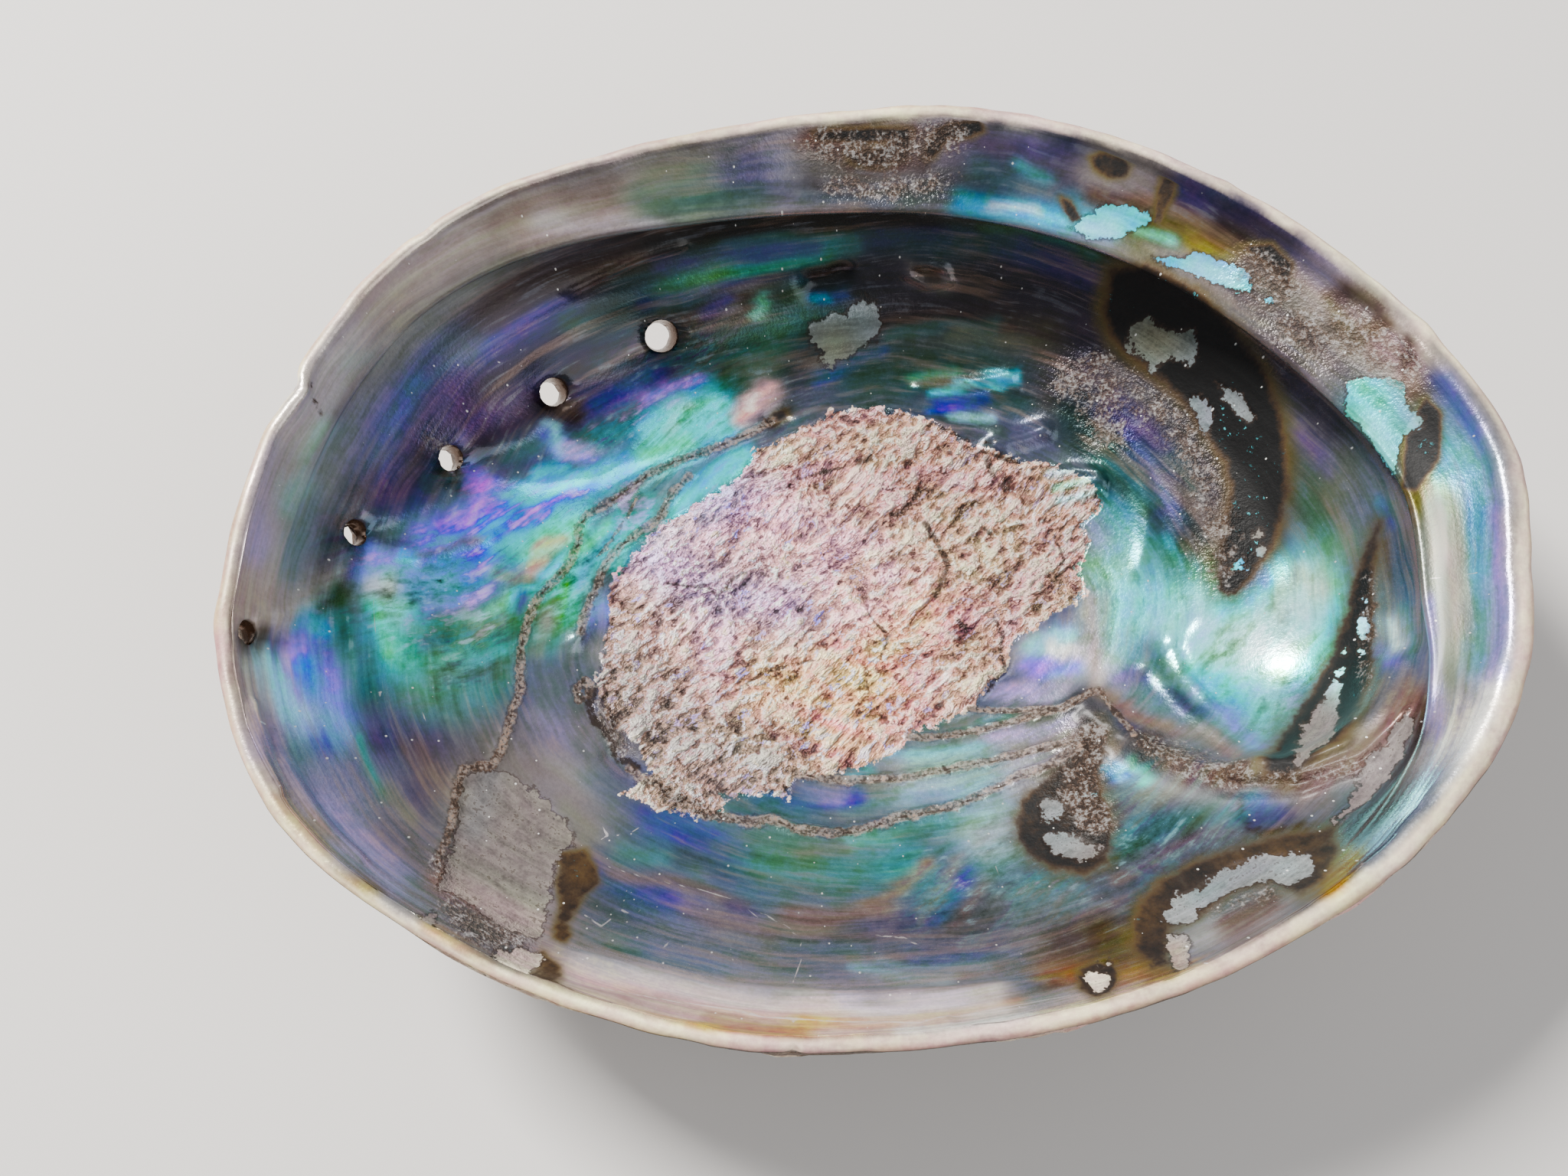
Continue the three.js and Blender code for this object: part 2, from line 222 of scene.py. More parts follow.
# The room: the floor, the sky, and the lights' place, size in metres, power, gloss and colour.
FLOOR_SIZE = 3
FLOOR_SHADE = (0.66, 0.64, 0.62, 1)
FLOOR_ROUGHNESS = 0.8
SKY_SHADE = (0.86, 0.87, 0.9, 1)
SKY_STRENGTH = 0.46
LIGHTS = {
    "key": ((-0.45, 0.45, 0.75), 0.25, 26.5, 1.0, (1, 0.97, 0.93)),
    "fill": ((0.6, -0.5, 0.6), 0.8, 5, 0.35, (1, 1, 1)),
}

# Chips in the rim: place in the picture, reach in pixels, depth in mm.
CHIPS = [
    (383, 506, 16, 1.1),
    (372, 530, 30, 0.6),
    (556, 306, 14, 0.5),
    (1297, 158, 12, 0.5),
    (1600, 240, 16, -0.3),
    (1855, 430, 18, -0.4),
    (1037, 1371, 7, 0.6),
]

# Shades seen on the shell, as displayed.
SHADES = {
    "ink": (0.03, 0.03, 0.03),
    "night": (0.15, 0.14, 0.15),
    "indigo": (0.27, 0.24, 0.40),
    "dusk": (0.28, 0.25, 0.31),
    "slate": (0.38, 0.41, 0.46),
    "steel": (0.50, 0.55, 0.57),
    "blue": (0.26, 0.32, 0.72),
    "violet": (0.38, 0.32, 0.62),
    "lavender": (0.60, 0.56, 1.0),
    "lilac": (0.76, 0.69, 0.86),
    "teal": (0.28, 0.44, 0.46),
    "sea": (0.30, 0.54, 0.47),
    "green": (0.28, 0.62, 0.46),
    "forest": (0.15, 0.30, 0.24),
    "turquoise": (0.32, 0.84, 0.88),
    "cyan": (0.30, 0.94, 1.0),
    "sky": (0.68, 0.97, 1.0),
    "mint": (0.52, 0.98, 0.78),
    "white": (1.0, 1.0, 0.98),
    "pearl": (0.82, 0.80, 0.80),
    "cream": (0.92, 0.86, 0.76),
    "beige": (0.74, 0.67, 0.61),
    "gold": (0.80, 0.64, 0.40),
    "amber": (0.60, 0.40, 0.12),
    "tan": (0.58, 0.46, 0.38),
    "copper": (0.76, 0.62, 0.54),
    "clay": (0.66, 0.52, 0.45),
    "brown": (0.34, 0.25, 0.19),
    "umber": (0.17, 0.12, 0.09),
    "bark": (0.27, 0.19, 0.10),
    "olive": (0.33, 0.29, 0.11),
    "moss": (0.47, 0.48, 0.38),
    "ash": (0.46, 0.43, 0.41),
    "fog": (0.62, 0.60, 0.59),
    "rose": (0.92, 0.71, 0.70),
    "peach": (1.0, 0.74, 0.55),
    "pink": (1.0, 0.72, 0.80),
}

# Soft strokes of paint, laid over each other in this order. Each row is the shade, its strength, the
# reach to each side in pixels of the picture, and the places that it runs through.
HOLLOW_STROKES = [
    # the wall from the pores round to the spire end; its dark dusk, night, ink and umber strokes are
    # painted shadow under the ledge
    ("dusk", 1.0, 150, (560, 640), (660, 540), (760, 450), (880, 370)),
    ("dusk", 1.0, 66, (470, 800), (478, 700), (500, 620), (555, 540), (630, 460), (740, 395), (860, 350)),
    ("indigo", 0.6, 50, (510, 680), (560, 580), (630, 500), (720, 440), (800, 395)),
    ("brown", 0.6, 20, (560, 640), (620, 560), (700, 500)),
    ("night", 1.0, 150, (860, 360), (960, 300), (1100, 270), (1300, 285), (1500, 350), (1650, 450)),
    ("night", 0.95, 120, (950, 440), (1100, 410), (1300, 400), (1420, 420)),
    ("brown", 0.55, 26, (480, 700), (500, 620), (540, 540), (600, 470), (680, 410)),
    ("brown", 0.6, 18, (530, 640), (570, 570), (620, 510), (690, 455)),
    ("brown", 0.6, 24, (560, 590), (600, 550), (660, 500)),
    ("blue", 0.7, 24, (490, 600), (515, 545), (550, 500)),
    ("blue", 0.5, 20, (520, 690), (560, 620), (600, 570)),
    ("sea", 0.5, 16, (565, 500), (600, 470), (640, 448)),
    ("violet", 0.6, 30, (560, 560), (620, 480), (700, 430)),
    ("violet", 0.4, 30, (500, 660), (540, 590)),
    ("blue", 0.6, 24, (640, 450), (720, 410), (790, 390)),
    ("violet", 0.7, 30, (620, 550), (660, 520), (700, 490)),
    ("indigo", 0.9, 30, (720, 470), (780, 430), (830, 410)),
    ("green", 0.8, 26, (750, 430), (800, 412), (850, 400)),
    ("forest", 0.8, 36, (790, 400), (820, 360), (880, 345)),
    ("umber", 0.8, 34, (600, 420), (690, 375), (800, 338), (920, 308)),
    ("brown", 0.6, 20, (760, 380), (800, 350), (870, 325)),
    ("ink", 0.85, 34, (860, 318), (960, 292), (1080, 280), (1200, 282), (1330, 300), (1440, 335)),
    ("teal", 0.8, 36, (850, 395), (930, 362), (1000, 345), (1070, 335)),
    ("green", 1.0, 26, (870, 388), (940, 360), (1010, 342), (1068, 330)),
    ("sea", 0.7, 16, (960, 325), (1030, 318), (1110, 322)),
    ("blue", 0.5, 14, (840, 400), (920, 380), (1000, 372), (1050, 372)),
    ("forest", 0.7, 30, (1250, 300), (1350, 315), (1440, 340)),
    ("violet", 0.45, 22, (1130, 312), (1230, 308), (1330, 330), (1430, 365)),
    ("green", 0.35, 12, (1280, 295), (1370, 310), (1430, 330)),
    ("brown", 0.8, 34, (900, 425), (960, 405), (1020, 385)),
    ("violet", 0.7, 12, (920, 408), (948, 396)),
    ("fog", 0.6, 8, (945, 410), (962, 402)),
    ("forest", 1.0, 55, (960, 480), (1010, 440), (1060, 400)),
    ("sea", 0.5, 30, (990, 470), (1030, 430)),
    ("mint", 0.7, 12, (990, 410), (998, 402)),
    ("sea", 0.45, 26, (1080, 480), (1180, 455), (1280, 450)),
    ("forest", 0.7, 40, (1120, 500), (1230, 480), (1340, 470)),
    ("brown", 0.5, 40, (1180, 430), (1280, 430), (1370, 450)),
    ("blue", 0.5, 12, (1070, 495), (1110, 475), (1150, 460)),
    ("sea", 0.5, 14, (1160, 440), (1230, 425), (1290, 425)),
    ("moss", 0.4, 14, (1240, 440), (1300, 440), (1350, 450)),
    ("olive", 0.6, 30, (1370, 440), (1385, 480), (1370, 530)),
    ("blue", 0.6, 12, (1065, 388), (1090, 388), (1108, 384)),
    ("cyan", 0.5, 7, (1068, 390), (1085, 390)),
    ("ink", 0.95, 18, (1062, 370), (1082, 366), (1100, 360)),
    ("ash", 0.8, 24, (1190, 352), (1230, 362)),
    ("umber", 0.9, 13, (1195, 353), (1220, 355)),
    # the ledge's band where it runs out, at the left, painted pale, partly as painted light on it
    ("pearl", 1.0, 84, (300, 900), (315, 800), (335, 700), (365, 600), (400, 510), (460, 420), (560, 335)),
    ("beige", 0.8, 44, (295, 880), (310, 790), (330, 690), (365, 590), (405, 505)),
    ("moss", 0.5, 30, (480, 500), (540, 430), (600, 380), (680, 335)),
    ("pearl", 0.8, 40, (390, 560), (430, 490), (490, 410)),
    ("teal", 0.5, 30, (380, 750), (392, 690), (415, 620), (440, 570)),
    ("mint", 0.6, 18, (395, 640), (405, 600), (425, 560)),
    ("sky", 0.8, 17, (378, 655), (388, 630)),
    ("cyan", 0.5, 17, (375, 670), (380, 640)),
    ("lilac", 0.8, 22, (335, 720), (345, 650), (365, 590)),
    ("mint", 0.5, 16, (455, 470), (480, 465)),
    ("white", 0.6, 12, (428, 465), (440, 462)),
    ("beige", 0.7, 44, (315, 780), (380, 790), (430, 770)),
    # painted shadow in the furrows of the pores, dark at the lower right of each hole
    ("umber", 0.8, 34, (858, 452), (884, 468), (905, 470)),
    ("ink", 0.8, 18, (862, 462), (884, 466)),
    ("brown", 0.7, 20, (890, 480), (915, 462)),
    ("umber", 0.9, 30, (726, 530), (756, 536), (775, 548)),
    ("ink", 0.9, 16, (718, 532), (744, 540)),
    ("fog", 0.4, 9, (748, 530), (768, 548)),
    ("umber", 0.8, 20, (745, 500), (775, 490), (800, 492)),
    ("umber", 0.9, 32, (600, 618), (628, 628), (640, 600)),
    ("ink", 0.85, 18, (598, 622), (618, 614)),
    ("umber", 0.9, 26, (470, 700), (500, 700), (535, 706)),
    ("ink", 0.85, 14, (474, 690), (490, 700), (510, 702)),
    ("umber", 0.9, 22, (334, 838), (360, 850), (382, 848)),
    ("ink", 0.8, 12, (334, 842), (354, 852)),
    # the bright wall at the left: the nacre's own colours, with its bright flashes in cyan, sky and white
    # as painted reflection
    ("indigo", 0.8, 50, (500, 720), (560, 680), (640, 640), (720, 600), (780, 560), (850, 500)),
    ("slate", 0.7, 30, (600, 626), (700, 622), (796, 610), (850, 598)),
    ("forest", 0.6, 24, (760, 575), (800, 570), (840, 550)),
    ("violet", 0.8, 26, (770, 520), (820, 500), (860, 490)),
    ("sea", 0.6, 30, (520, 690), (560, 680), (590, 660)),
    ("turquoise", 0.9, 24, (680, 650), (740, 640), (800, 622), (850, 600), (900, 580)),
    ("cyan", 1.0, 30, (850, 575), (890, 545), (930, 525)),
    ("sky", 1.0, 26, (868, 560), (900, 540), (940, 548)),
    ("white", 0.8, 13, (880, 548), (905, 535), (925, 545)),
    ("cyan", 1.0, 22, (905, 560), (935, 560), (955, 550)),
    ("mint", 0.9, 12, (832, 596), (860, 588), (900, 575)),
    ("lavender", 0.9, 16, (850, 520), (880, 508), (910, 498)),
    ("rose", 1.0, 20, (965, 545), (982, 522), (1000, 505)),
    ("white", 0.7, 8, (975, 528), (985, 516)),
    ("umber", 0.9, 15, (1012, 550), (1024, 540)),
    ("sky", 0.95, 13, (716, 560), (726, 580), (735, 590)),
    ("lavender", 1.0, 15, (712, 575), (740, 592), (768, 596)),
    ("indigo", 0.8, 15, (655, 600), (690, 605), (730, 612)),
    ("lavender", 1.0, 22, (620, 615), (635, 640), (650, 655)),
    ("lavender", 1.0, 32, (560, 690), (600, 680), (640, 655)),
    ("sky", 0.8, 12, (636, 648), (660, 655), (690, 650)),
    ("cyan", 1.0, 22, (655, 668), (700, 655), (740, 645)),
    ("blue", 0.9, 12, (640, 690), (690, 678), (750, 662)),
    ("lilac", 0.8, 13, (585, 700), (620, 695)),
    ("indigo", 0.8, 12, (535, 712), (580, 716), (625, 708)),
    ("turquoise", 1.0, 26, (640, 716), (690, 690), (750, 672)),
    ("mint", 1.0, 24, (690, 712), (720, 705), (745, 690)),
    ("cream", 1.0, 13, (698, 716), (725, 708), (738, 702)),
    ("green", 0.8, 14, (655, 745), (670, 725)),
    ("rose", 0.8, 14, (690, 752), (706, 742)),
    ("cyan", 0.9, 15, (728, 748), (748, 726), (760, 712)),
    ("lavender", 1.0, 34, (500, 745), (550, 745), (600, 735)),
    ("sky", 1.0, 10, (490, 722), (510, 738), (530, 748)),
    ("blue", 1.0, 20, (530, 775), (580, 765), (640, 752)),
    ("violet", 0.9, 14, (570, 790), (610, 785), (650, 775)),
    ("sky", 0.8, 7, (560, 742), (600, 752), (640, 740)),
    ("indigo", 0.8, 12, (545, 800), (580, 798)),
    ("turquoise", 1.0, 22, (488, 790), (510, 800), (530, 795)),
    ("mint", 0.9, 14, (500, 812), (515, 845), (520, 870)),
    ("green", 1.0, 70, (550, 850), (600, 840), (650, 810)),
    ("sea", 0.9, 44, (560, 920), (620, 910), (650, 880)),
    ("mint", 0.8, 12, (600, 815), (640, 800), (660, 780)),
    ("green", 0.9, 16, (520, 870), (560, 900), (600, 880)),
    ("turquoise", 0.8, 12, (620, 860), (660, 850)),
    ("indigo", 0.8, 14, (545, 834), (575, 830)),
    ("clay", 0.6, 10, (600, 838), (625, 826)),
    ("teal", 0.7, 20, (590, 880), (640, 870)),
    ("forest", 0.95, 40, (448, 790), (445, 850), (470, 900)),
    ("slate", 0.6, 16, (470, 790), (480, 850), (500, 890)),
    # left, at and below the newest pore; its sky strokes are a painted highlight
    ("beige", 0.8, 46, (310, 870), (330, 920), (350, 980)),
    ("turquoise", 0.8, 24, (400, 815), (415, 830)),
    ("lavender", 0.9, 34, (390, 850), (410, 880), (425, 910)),
    ("sky", 1.0, 26, (355, 870), (370, 900), (385, 930)),
    ("lilac", 0.7, 10, (375, 850), (392, 900), (410, 940)),
    ("cyan", 0.5, 16, (400, 870), (410, 910)),
    ("lilac", 0.7, 70, (380, 980), (420, 1030), (460, 1080)),
    ("steel", 0.7, 44, (400, 980), (440, 1020), (480, 1070)),
    ("sea", 0.5, 30, (400, 980), (440, 960)),
    ("blue", 0.5, 26, (430, 970), (450, 940)),
    ("sky", 0.5, 30, (420, 930), (445, 960)),
    ("indigo", 0.9, 40, (500, 960), (540, 970), (590, 990)),
    ("indigo", 0.6, 34, (550, 1040), (590, 1020)),
    ("brown", 0.5, 24, (545, 980), (570, 1010)),
    ("green", 0.8, 12, (470, 965), (480, 1000), (497, 1040)),
    ("moss", 0.8, 22, (510, 1040), (530, 1065)),
    ("teal", 0.6, 14, (450, 1080), (480, 1070)),
    ("fog", 0.8, 50, (480, 1110), (520, 1150), (550, 1190)),
    ("slate", 0.6, 24, (500, 1090), (540, 1130)),
    ("lilac", 0.6, 26, (420, 1060), (470, 1100), (520, 1150)),
    ("beige", 0.7, 22, (350, 1010), (390, 1070), (430, 1120)),
    ("gold", 0.9, 20, (358, 1050), (385, 1085), (415, 1115)),
    ("cream", 0.8, 22, (330, 1020), (370, 1080), (430, 1140), (500, 1200), (560, 1240)),
    ("amber", 0.5, 18, (440, 1150), (480, 1165)),
    # between the cracks and the scar
    ("green", 0.9, 34, (700, 850), (720, 800), (750, 750)),
    ("turquoise", 1.0, 24, (735, 790), (770, 730), (810, 690)),
    ("cyan", 0.8, 16, (750, 750), (775, 715), (815, 680)),
    ("cyan", 0.9, 16, (800, 740), (820, 700), (850, 660)),
    ("lavender", 0.7, 12, (755, 770), (775, 730), (800, 700)),
    ("ash", 0.9, 18, (855, 700), (865, 665), (885, 645)),
    ("cyan", 1.0, 18, (885, 655), (920, 625), (970, 597)),
    ("turquoise", 0.8, 14, (870, 680), (880, 655)),
    ("lavender", 0.9, 20, (775, 815), (790, 795)),
    ("fog", 0.9, 26, (790, 855), (820, 830)),
    ("slate", 0.9, 30, (700, 870), (725, 920), (735, 960)),
    ("lilac", 0.5, 18, (700, 930), (740, 960)),
    ("ash", 0.8, 34, (770, 940), (800, 950), (830, 970)),
    # lower left: the grey matte area
    ("ash", 1.0, 120, (640, 1040), (700, 1080), (700, 1160)),
    ("moss", 0.8, 50, (630, 1040), (640, 1100)),
    ("lilac", 0.6, 60, (700, 1010), (740, 1070), (700, 1140)),
    ("fog", 0.6, 30, (680, 1000), (760, 1010)),
    ("tan", 0.9, 26, (580, 1150), (610, 1160), (640, 1175)),
    ("beige", 0.7, 34, (670, 1200), (720, 1230), (780, 1240)),
    ("teal", 0.7, 26, (770, 1020), (800, 1050), (800, 1080)),
    # the floor of the hollow below the scar
    ("slate", 1.0, 140, (820, 1130), (950, 1180), (1150, 1210), (1300, 1190), (1420, 1170)),
    ("blue", 0.55, 34, (850, 1070), (890, 1080), (930, 1095)),
    ("green", 0.5, 26, (820, 1110), (870, 1115), (910, 1130)),
    ("dusk", 0.6, 30, (900, 1120), (960, 1130)),
    ("teal", 0.9, 60, (980, 1130), (1080, 1150), (1180, 1140)),
    ("green", 0.5, 34, (1000, 1120), (1090, 1140), (1180, 1130)),
    ("sea", 0.4, 24, (1000, 1090), (1090, 1110), (1190, 1100)),
    ("moss", 0.7, 14, (1040, 1112), (1100, 1108)),
    ("mint", 0.4, 14, (1110, 1100), (1170, 1095)),
    ("blue", 0.5, 30, (780, 1140), (830, 1170), (900, 1190)),
    ("tan", 0.55, 12, (790, 1135), (880, 1155), (970, 1180)),
    ("tan", 0.85, 24, (1030, 1195), (1090, 1205), (1150, 1195)),
    ("tan", 0.8, 14, (1130, 1185), (1170, 1160), (1210, 1130)),
    ("tan", 0.5, 20, (900, 1190), (960, 1210), (1010, 1225)),
    ("indigo", 0.6, 16, (955, 1182), (980, 1192)),
    ("indigo", 0.5, 18, (1100, 1230), (1160, 1215), (1220, 1190)),
    ("teal", 0.7, 34, (770, 1230), (850, 1245), (930, 1260)),
    ("teal", 0.5, 24, (960, 1235), (1040, 1250), (1120, 1250)),
    ("sky", 0.5, 12, (1120, 1268), (1180, 1278), (1240, 1276)),
    ("sky", 0.4, 8, (1150, 1258), (1220, 1262), (1290, 1262)),
    ("blue", 0.4, 14, (1190, 1245), (1260, 1250), (1330, 1250)),
    ("tan", 0.6, 12, (1200, 1200), (1230, 1160), (1255, 1120)),
    ("tan", 0.5, 10, (1240, 1210), (1270, 1170), (1290, 1140)),
    ("blue", 0.5, 12, (1215, 1205), (1245, 1165), (1275, 1125)),
    ("teal", 0.6, 22, (1290, 1110), (1300, 1150), (1320, 1190)),
    ("sea", 0.8, 26, (1180, 1080), (1250, 1075), (1310, 1065)),
    ("mint", 0.6, 14, (1265, 1080), (1285, 1070)),
    ("lilac", 0.7, 16, (1290, 1090), (1310, 1075)),
    ("fog", 0.5, 34, (1310, 1170), (1380, 1170), (1440, 1190)),
    ("tan", 0.4, 20, (1330, 1200), (1400, 1195), (1460, 1180)),
    ("steel", 0.6, 24, (1340, 1220), (1360, 1235)),
    # the strips between the crumbly ridges
    ("moss", 0.8, 44, (1090, 1040), (1190, 1010), (1300, 970), (1390, 940)),
    ("steel", 0.8, 24, (1160, 975), (1230, 980), (1300, 970)),
    ("turquoise", 0.5, 12, (1160, 985), (1220, 990), (1280, 982)),
    ("sea", 0.6, 13, (1190, 946), (1250, 945), (1320, 940)),
    ("lilac", 0.7, 14, (1300, 965), (1350, 957), (1400, 945)),
    ("lilac", 0.9, 14, (1300, 905), (1360, 903), (1420, 898)),
    ("turquoise", 0.5, 16, (1180, 1042), (1250, 1035), (1320, 1015)),
    ("sea", 0.6, 18, (1100, 1050), (1160, 1046)),
    ("blue", 0.6, 16, (1000, 1045), (1060, 1050), (1110, 1040)),
    ("lilac", 0.5, 12, (1050, 1035), (1090, 1042)),
    ("turquoise", 0.5, 14, (1130, 1000), (1110, 1010)),
    ("beige", 0.8, 14, (1330, 985), (1380, 975), (1420, 950)),
    # the pale border along the bottom rim; its white strokes are painted highlights
    ("beige", 1.0, 36, (720, 1262), (800, 1285), (900, 1305), (1000, 1318), (1150, 1318), (1300, 1305)),
    ("rose", 0.5, 18, (760, 1275), (860, 1298), (960, 1315), (1080, 1320)),
    ("lilac", 0.5, 12, (1100, 1308), (1180, 1312), (1260, 1305)),
    ("gold", 1.0, 26, (560, 1225), (640, 1280), (740, 1315), (860, 1340), (1000, 1348), (1110, 1350)),
    ("cream", 0.7, 14, (740, 1300), (820, 1318), (900, 1325)),
    ("cream", 0.9, 28, (1080, 1352), (1200, 1348), (1350, 1330), (1470, 1298)),
    ("gold", 0.7, 12, (1050, 1335), (1140, 1335), (1240, 1325), (1330, 1308)),
    ("white", 0.9, 16, (1180, 1350), (1260, 1345), (1340, 1332)),
    ("white", 0.6, 10, (1460, 1293), (1500, 1290)),
    # the right: round the coil
    ("dusk", 1.0, 90, (1420, 480), (1500, 560), (1560, 640), (1580, 700)),
    ("ash", 0.7, 24, (1450, 470), (1520, 540), (1575, 620), (1580, 690)),
    ("slate", 1.0, 80, (1400, 600), (1460, 630), (1500, 680)),
    ("dusk", 0.9, 60, (1450, 540), (1490, 590), (1520, 640)),
    ("forest", 0.8, 44, (1440, 590), (1490, 640)),
    ("forest", 0.8, 34, (1400, 545), (1440, 560)),
    ("violet", 0.8, 26, (1450, 530), (1500, 570), (1530, 620)),
    ("blue", 0.7, 18, (1480, 590), (1520, 640), (1540, 680)),
    ("sea", 0.8, 24, (1450, 590), (1490, 620), (1500, 650)),
    ("sea", 0.7, 18, (1535, 600), (1560, 640)),
    ("lavender", 0.5, 8, (1470, 560), (1510, 610), (1530, 670)),
    ("turquoise", 0.7, 40, (1440, 660), (1480, 700), (1510, 730)),
    ("olive", 0.8, 20, (1555, 715), (1575, 740)),
    ("cyan", 0.8, 14, (1528, 705), (1540, 735)),
    ("mint", 0.6, 34, (1430, 740), (1470, 760)),
    ("lilac", 0.5, 18, (1430, 680), (1450, 710)),
    ("beige", 1.0, 38, (1435, 800), (1450, 840), (1465, 880)),
    ("moss", 1.0, 60, (1700, 560), (1725, 640), (1735, 700)),
    ("dusk", 0.7, 34, (1640, 440), (1700, 510), (1730, 560)),
    ("violet", 0.5, 22, (1700, 570), (1730, 610)),
    ("sea", 0.6, 30, (1700, 640), (1730, 700)),
    ("slate", 1.0, 50, (1810, 660), (1830, 760), (1830, 900)),
    ("tan", 0.7, 14, (1805, 710), (1810, 780), (1805, 850)),
    ("blue", 0.6, 12, (1800, 660), (1815, 690)),
    ("teal", 0.9, 12, (1820, 660), (1838, 720), (1842, 790)),
    ("sea", 0.6, 10, (1830, 800), (1845, 860)),
    ("white", 1.0, 17, (1815, 812), (1820, 840)),
    ("lavender", 0.6, 16, (1806, 850), (1812, 858)),
    ("ash", 0.9, 24, (1800, 900), (1820, 930)),
    # painted reflection: the bright flash of light beside the coil
    ("mint", 1.0, 60, (1490, 800), (1560, 780), (1600, 800)),
    ("turquoise", 0.9, 110, (1540, 850), (1640, 870), (1700, 810)),
    ("mint", 1.0, 80, (1570, 830), (1650, 850), (1710, 790)),
    ("sky", 1.0, 70, (1560, 840), (1640, 860), (1690, 820)),
    ("white", 0.85, 44, (1590, 820), (1660, 840), (1690, 800)),
    ("cream", 0.6, 22, (1670, 760), (1700, 750), (1720, 770)),
    ("rose", 0.35, 16, (1680, 850), (1700, 870)),
    ("cyan", 0.9, 22, (1660, 750), (1640, 775), (1600, 795)),
    ("cyan", 0.9, 18, (1745, 790), (1735, 840), (1715, 880)),
    ("lavender", 0.6, 20, (1640, 900), (1690, 900), (1700, 880)),
    ("turquoise", 0.7, 20, (1560, 880), (1600, 910), (1640, 930)),
    ("violet", 0.9, 22, (1460, 885), (1500, 890)),
    ("violet", 0.9, 22, (1525, 905), (1555, 935)),
    ("sky", 0.9, 16, (1500, 850), (1520, 880), (1560, 910)),
    ("lavender", 0.7, 14, (1580, 930), (1620, 955), (1650, 975)),
    ("pearl", 1.0, 36, (1345, 850), (1380, 850), (1420, 860)),
    ("lavender", 0.8, 14, (1340, 870), (1370, 862), (1400, 875)),
    ("sky", 0.7, 14, (1375, 835), (1405, 825)),
    # the rough band of the coil and below it
    ("slate", 0.9, 40, (1450, 910), (1500, 950), (1590, 995), (1680, 1012)),
    ("tan", 0.8, 14, (1440, 900), (1480, 935), (1540, 960), (1620, 985)),
    ("violet", 0.5, 12, (1470, 950), (1530, 985), (1600, 1000)),
    ("tan", 0.8, 34, (1640, 1020), (1720, 1010), (1800, 970), (1840, 920)),
    ("ash", 0.7, 30, (1660, 1010), (1740, 1000), (1800, 960)),
    ("fog", 0.7, 12, (1640, 1010), (1730, 1005), (1800, 965)),
    ("brown", 0.6, 10, (1610, 1030), (1720, 1030), (1800, 990)),
    ("ash", 0.8, 20, (1500, 985), (1560, 1010), (1620, 1025)),
    ("cyan", 0.9, 12, (1445, 1000), (1470, 1008)),
    ("blue", 0.8, 10, (1450, 1010), (1480, 1005)),
    ("mint", 0.8, 10, (1478, 990), (1500, 1010)),
    ("sea", 0.9, 14, (1448, 955), (1466, 965)),
    ("moss", 0.8, 40, (1450, 1060), (1500, 1050), (1560, 1045)),
    ("dusk", 0.6, 24, (1470, 1060), (1520, 1070)),
    ("slate", 0.9, 60, (1450, 1130), (1540, 1090), (1640, 1060)),
    ("teal", 0.7, 14, (1450, 1110), (1500, 1085), (1580, 1060), (1640, 1050)),
    ("tan", 0.5, 12, (1460, 1150), (1520, 1110), (1600, 1085)),
    ("blue", 0.8, 16, (1628, 1062), (1670, 1060)),
    ("umber", 0.8, 9, (1618, 1055), (1625, 1075), (1650, 1085), (1700, 1080)),
    ("ash", 0.8, 20, (1690, 1062), (1730, 1050)),
    # painted shadow along the ledge's edge at the lower right
    ("umber", 0.8, 24, (1862, 920), (1850, 990), (1810, 1050), (1770, 1085)),
    ("ash", 0.9, 60, (1590, 1200), (1650, 1180), (1700, 1160)),
    ("steel", 0.6, 20, (1560, 1205), (1620, 1180), (1690, 1155)),
    ("brown", 0.7, 18, (1600, 1212), (1640, 1200)),
    ("umber", 0.6, 24, (1500, 1240), (1500, 1200)),
    ("amber", 0.8, 30, (1730, 1130), (1750, 1160)),
    ("olive", 1.0, 40, (1370, 1240), (1430, 1240), (1490, 1240)),
    ("umber", 0.8, 26, (1390, 1225), (1440, 1230), (1490, 1225)),
    ("amber", 0.9, 26, (1370, 1268), (1440, 1275), (1500, 1268)),
    ("gold", 0.8, 20, (1510, 1278), (1600, 1262), (1700, 1215)),
    ("cream", 0.9, 18, (1560, 1295), (1660, 1258), (1740, 1205)),
    # pale floor between the cracks, the bright coil wall with more of its painted reflection, and the dull
    # left wall
    ("pearl", 0.55, 50, (1190, 1020), (1280, 1022), (1350, 1015)),
    ("mint", 0.3, 34, (1200, 1000), (1290, 1006)),
    ("sky", 0.5, 60, (1480, 800), (1560, 810), (1700, 820)),
    ("turquoise", 0.3, 50, (1480, 730), (1500, 760)),
    ("fog", 0.35, 50, (430, 620), (480, 560), (520, 530)),
    ("lavender", 0.35, 50, (490, 600), (520, 540)),
    ("dusk", 0.8, 30, (1416, 920), (1450, 960), (1500, 990)),
    ("brown", 0.8, 26, (1500, 975), (1550, 1000), (1620, 1015), (1690, 1018)),
    ("tan", 0.6, 26, (1700, 1010), (1770, 985), (1830, 930), (1845, 900)),
    ("sky", 0.8, 12, (1448, 1002), (1462, 1012)),
    ("mint", 0.8, 12, (1475, 992), (1492, 1012)),
    ("indigo", 0.9, 16, (1640, 1066), (1680, 1064)),
    ("brown", 0.8, 20, (1606, 1208), (1640, 1198), (1664, 1186)),
    ("fog", 0.8, 30, (1540, 1235), (1600, 1225), (1660, 1195)),
    ("brown", 0.7, 18, (1606, 1204), (1640, 1192), (1660, 1182)),
    ("steel", 0.5, 50, (1340, 1235)),
    ("ash", 0.5, 50, (1420, 1225)),
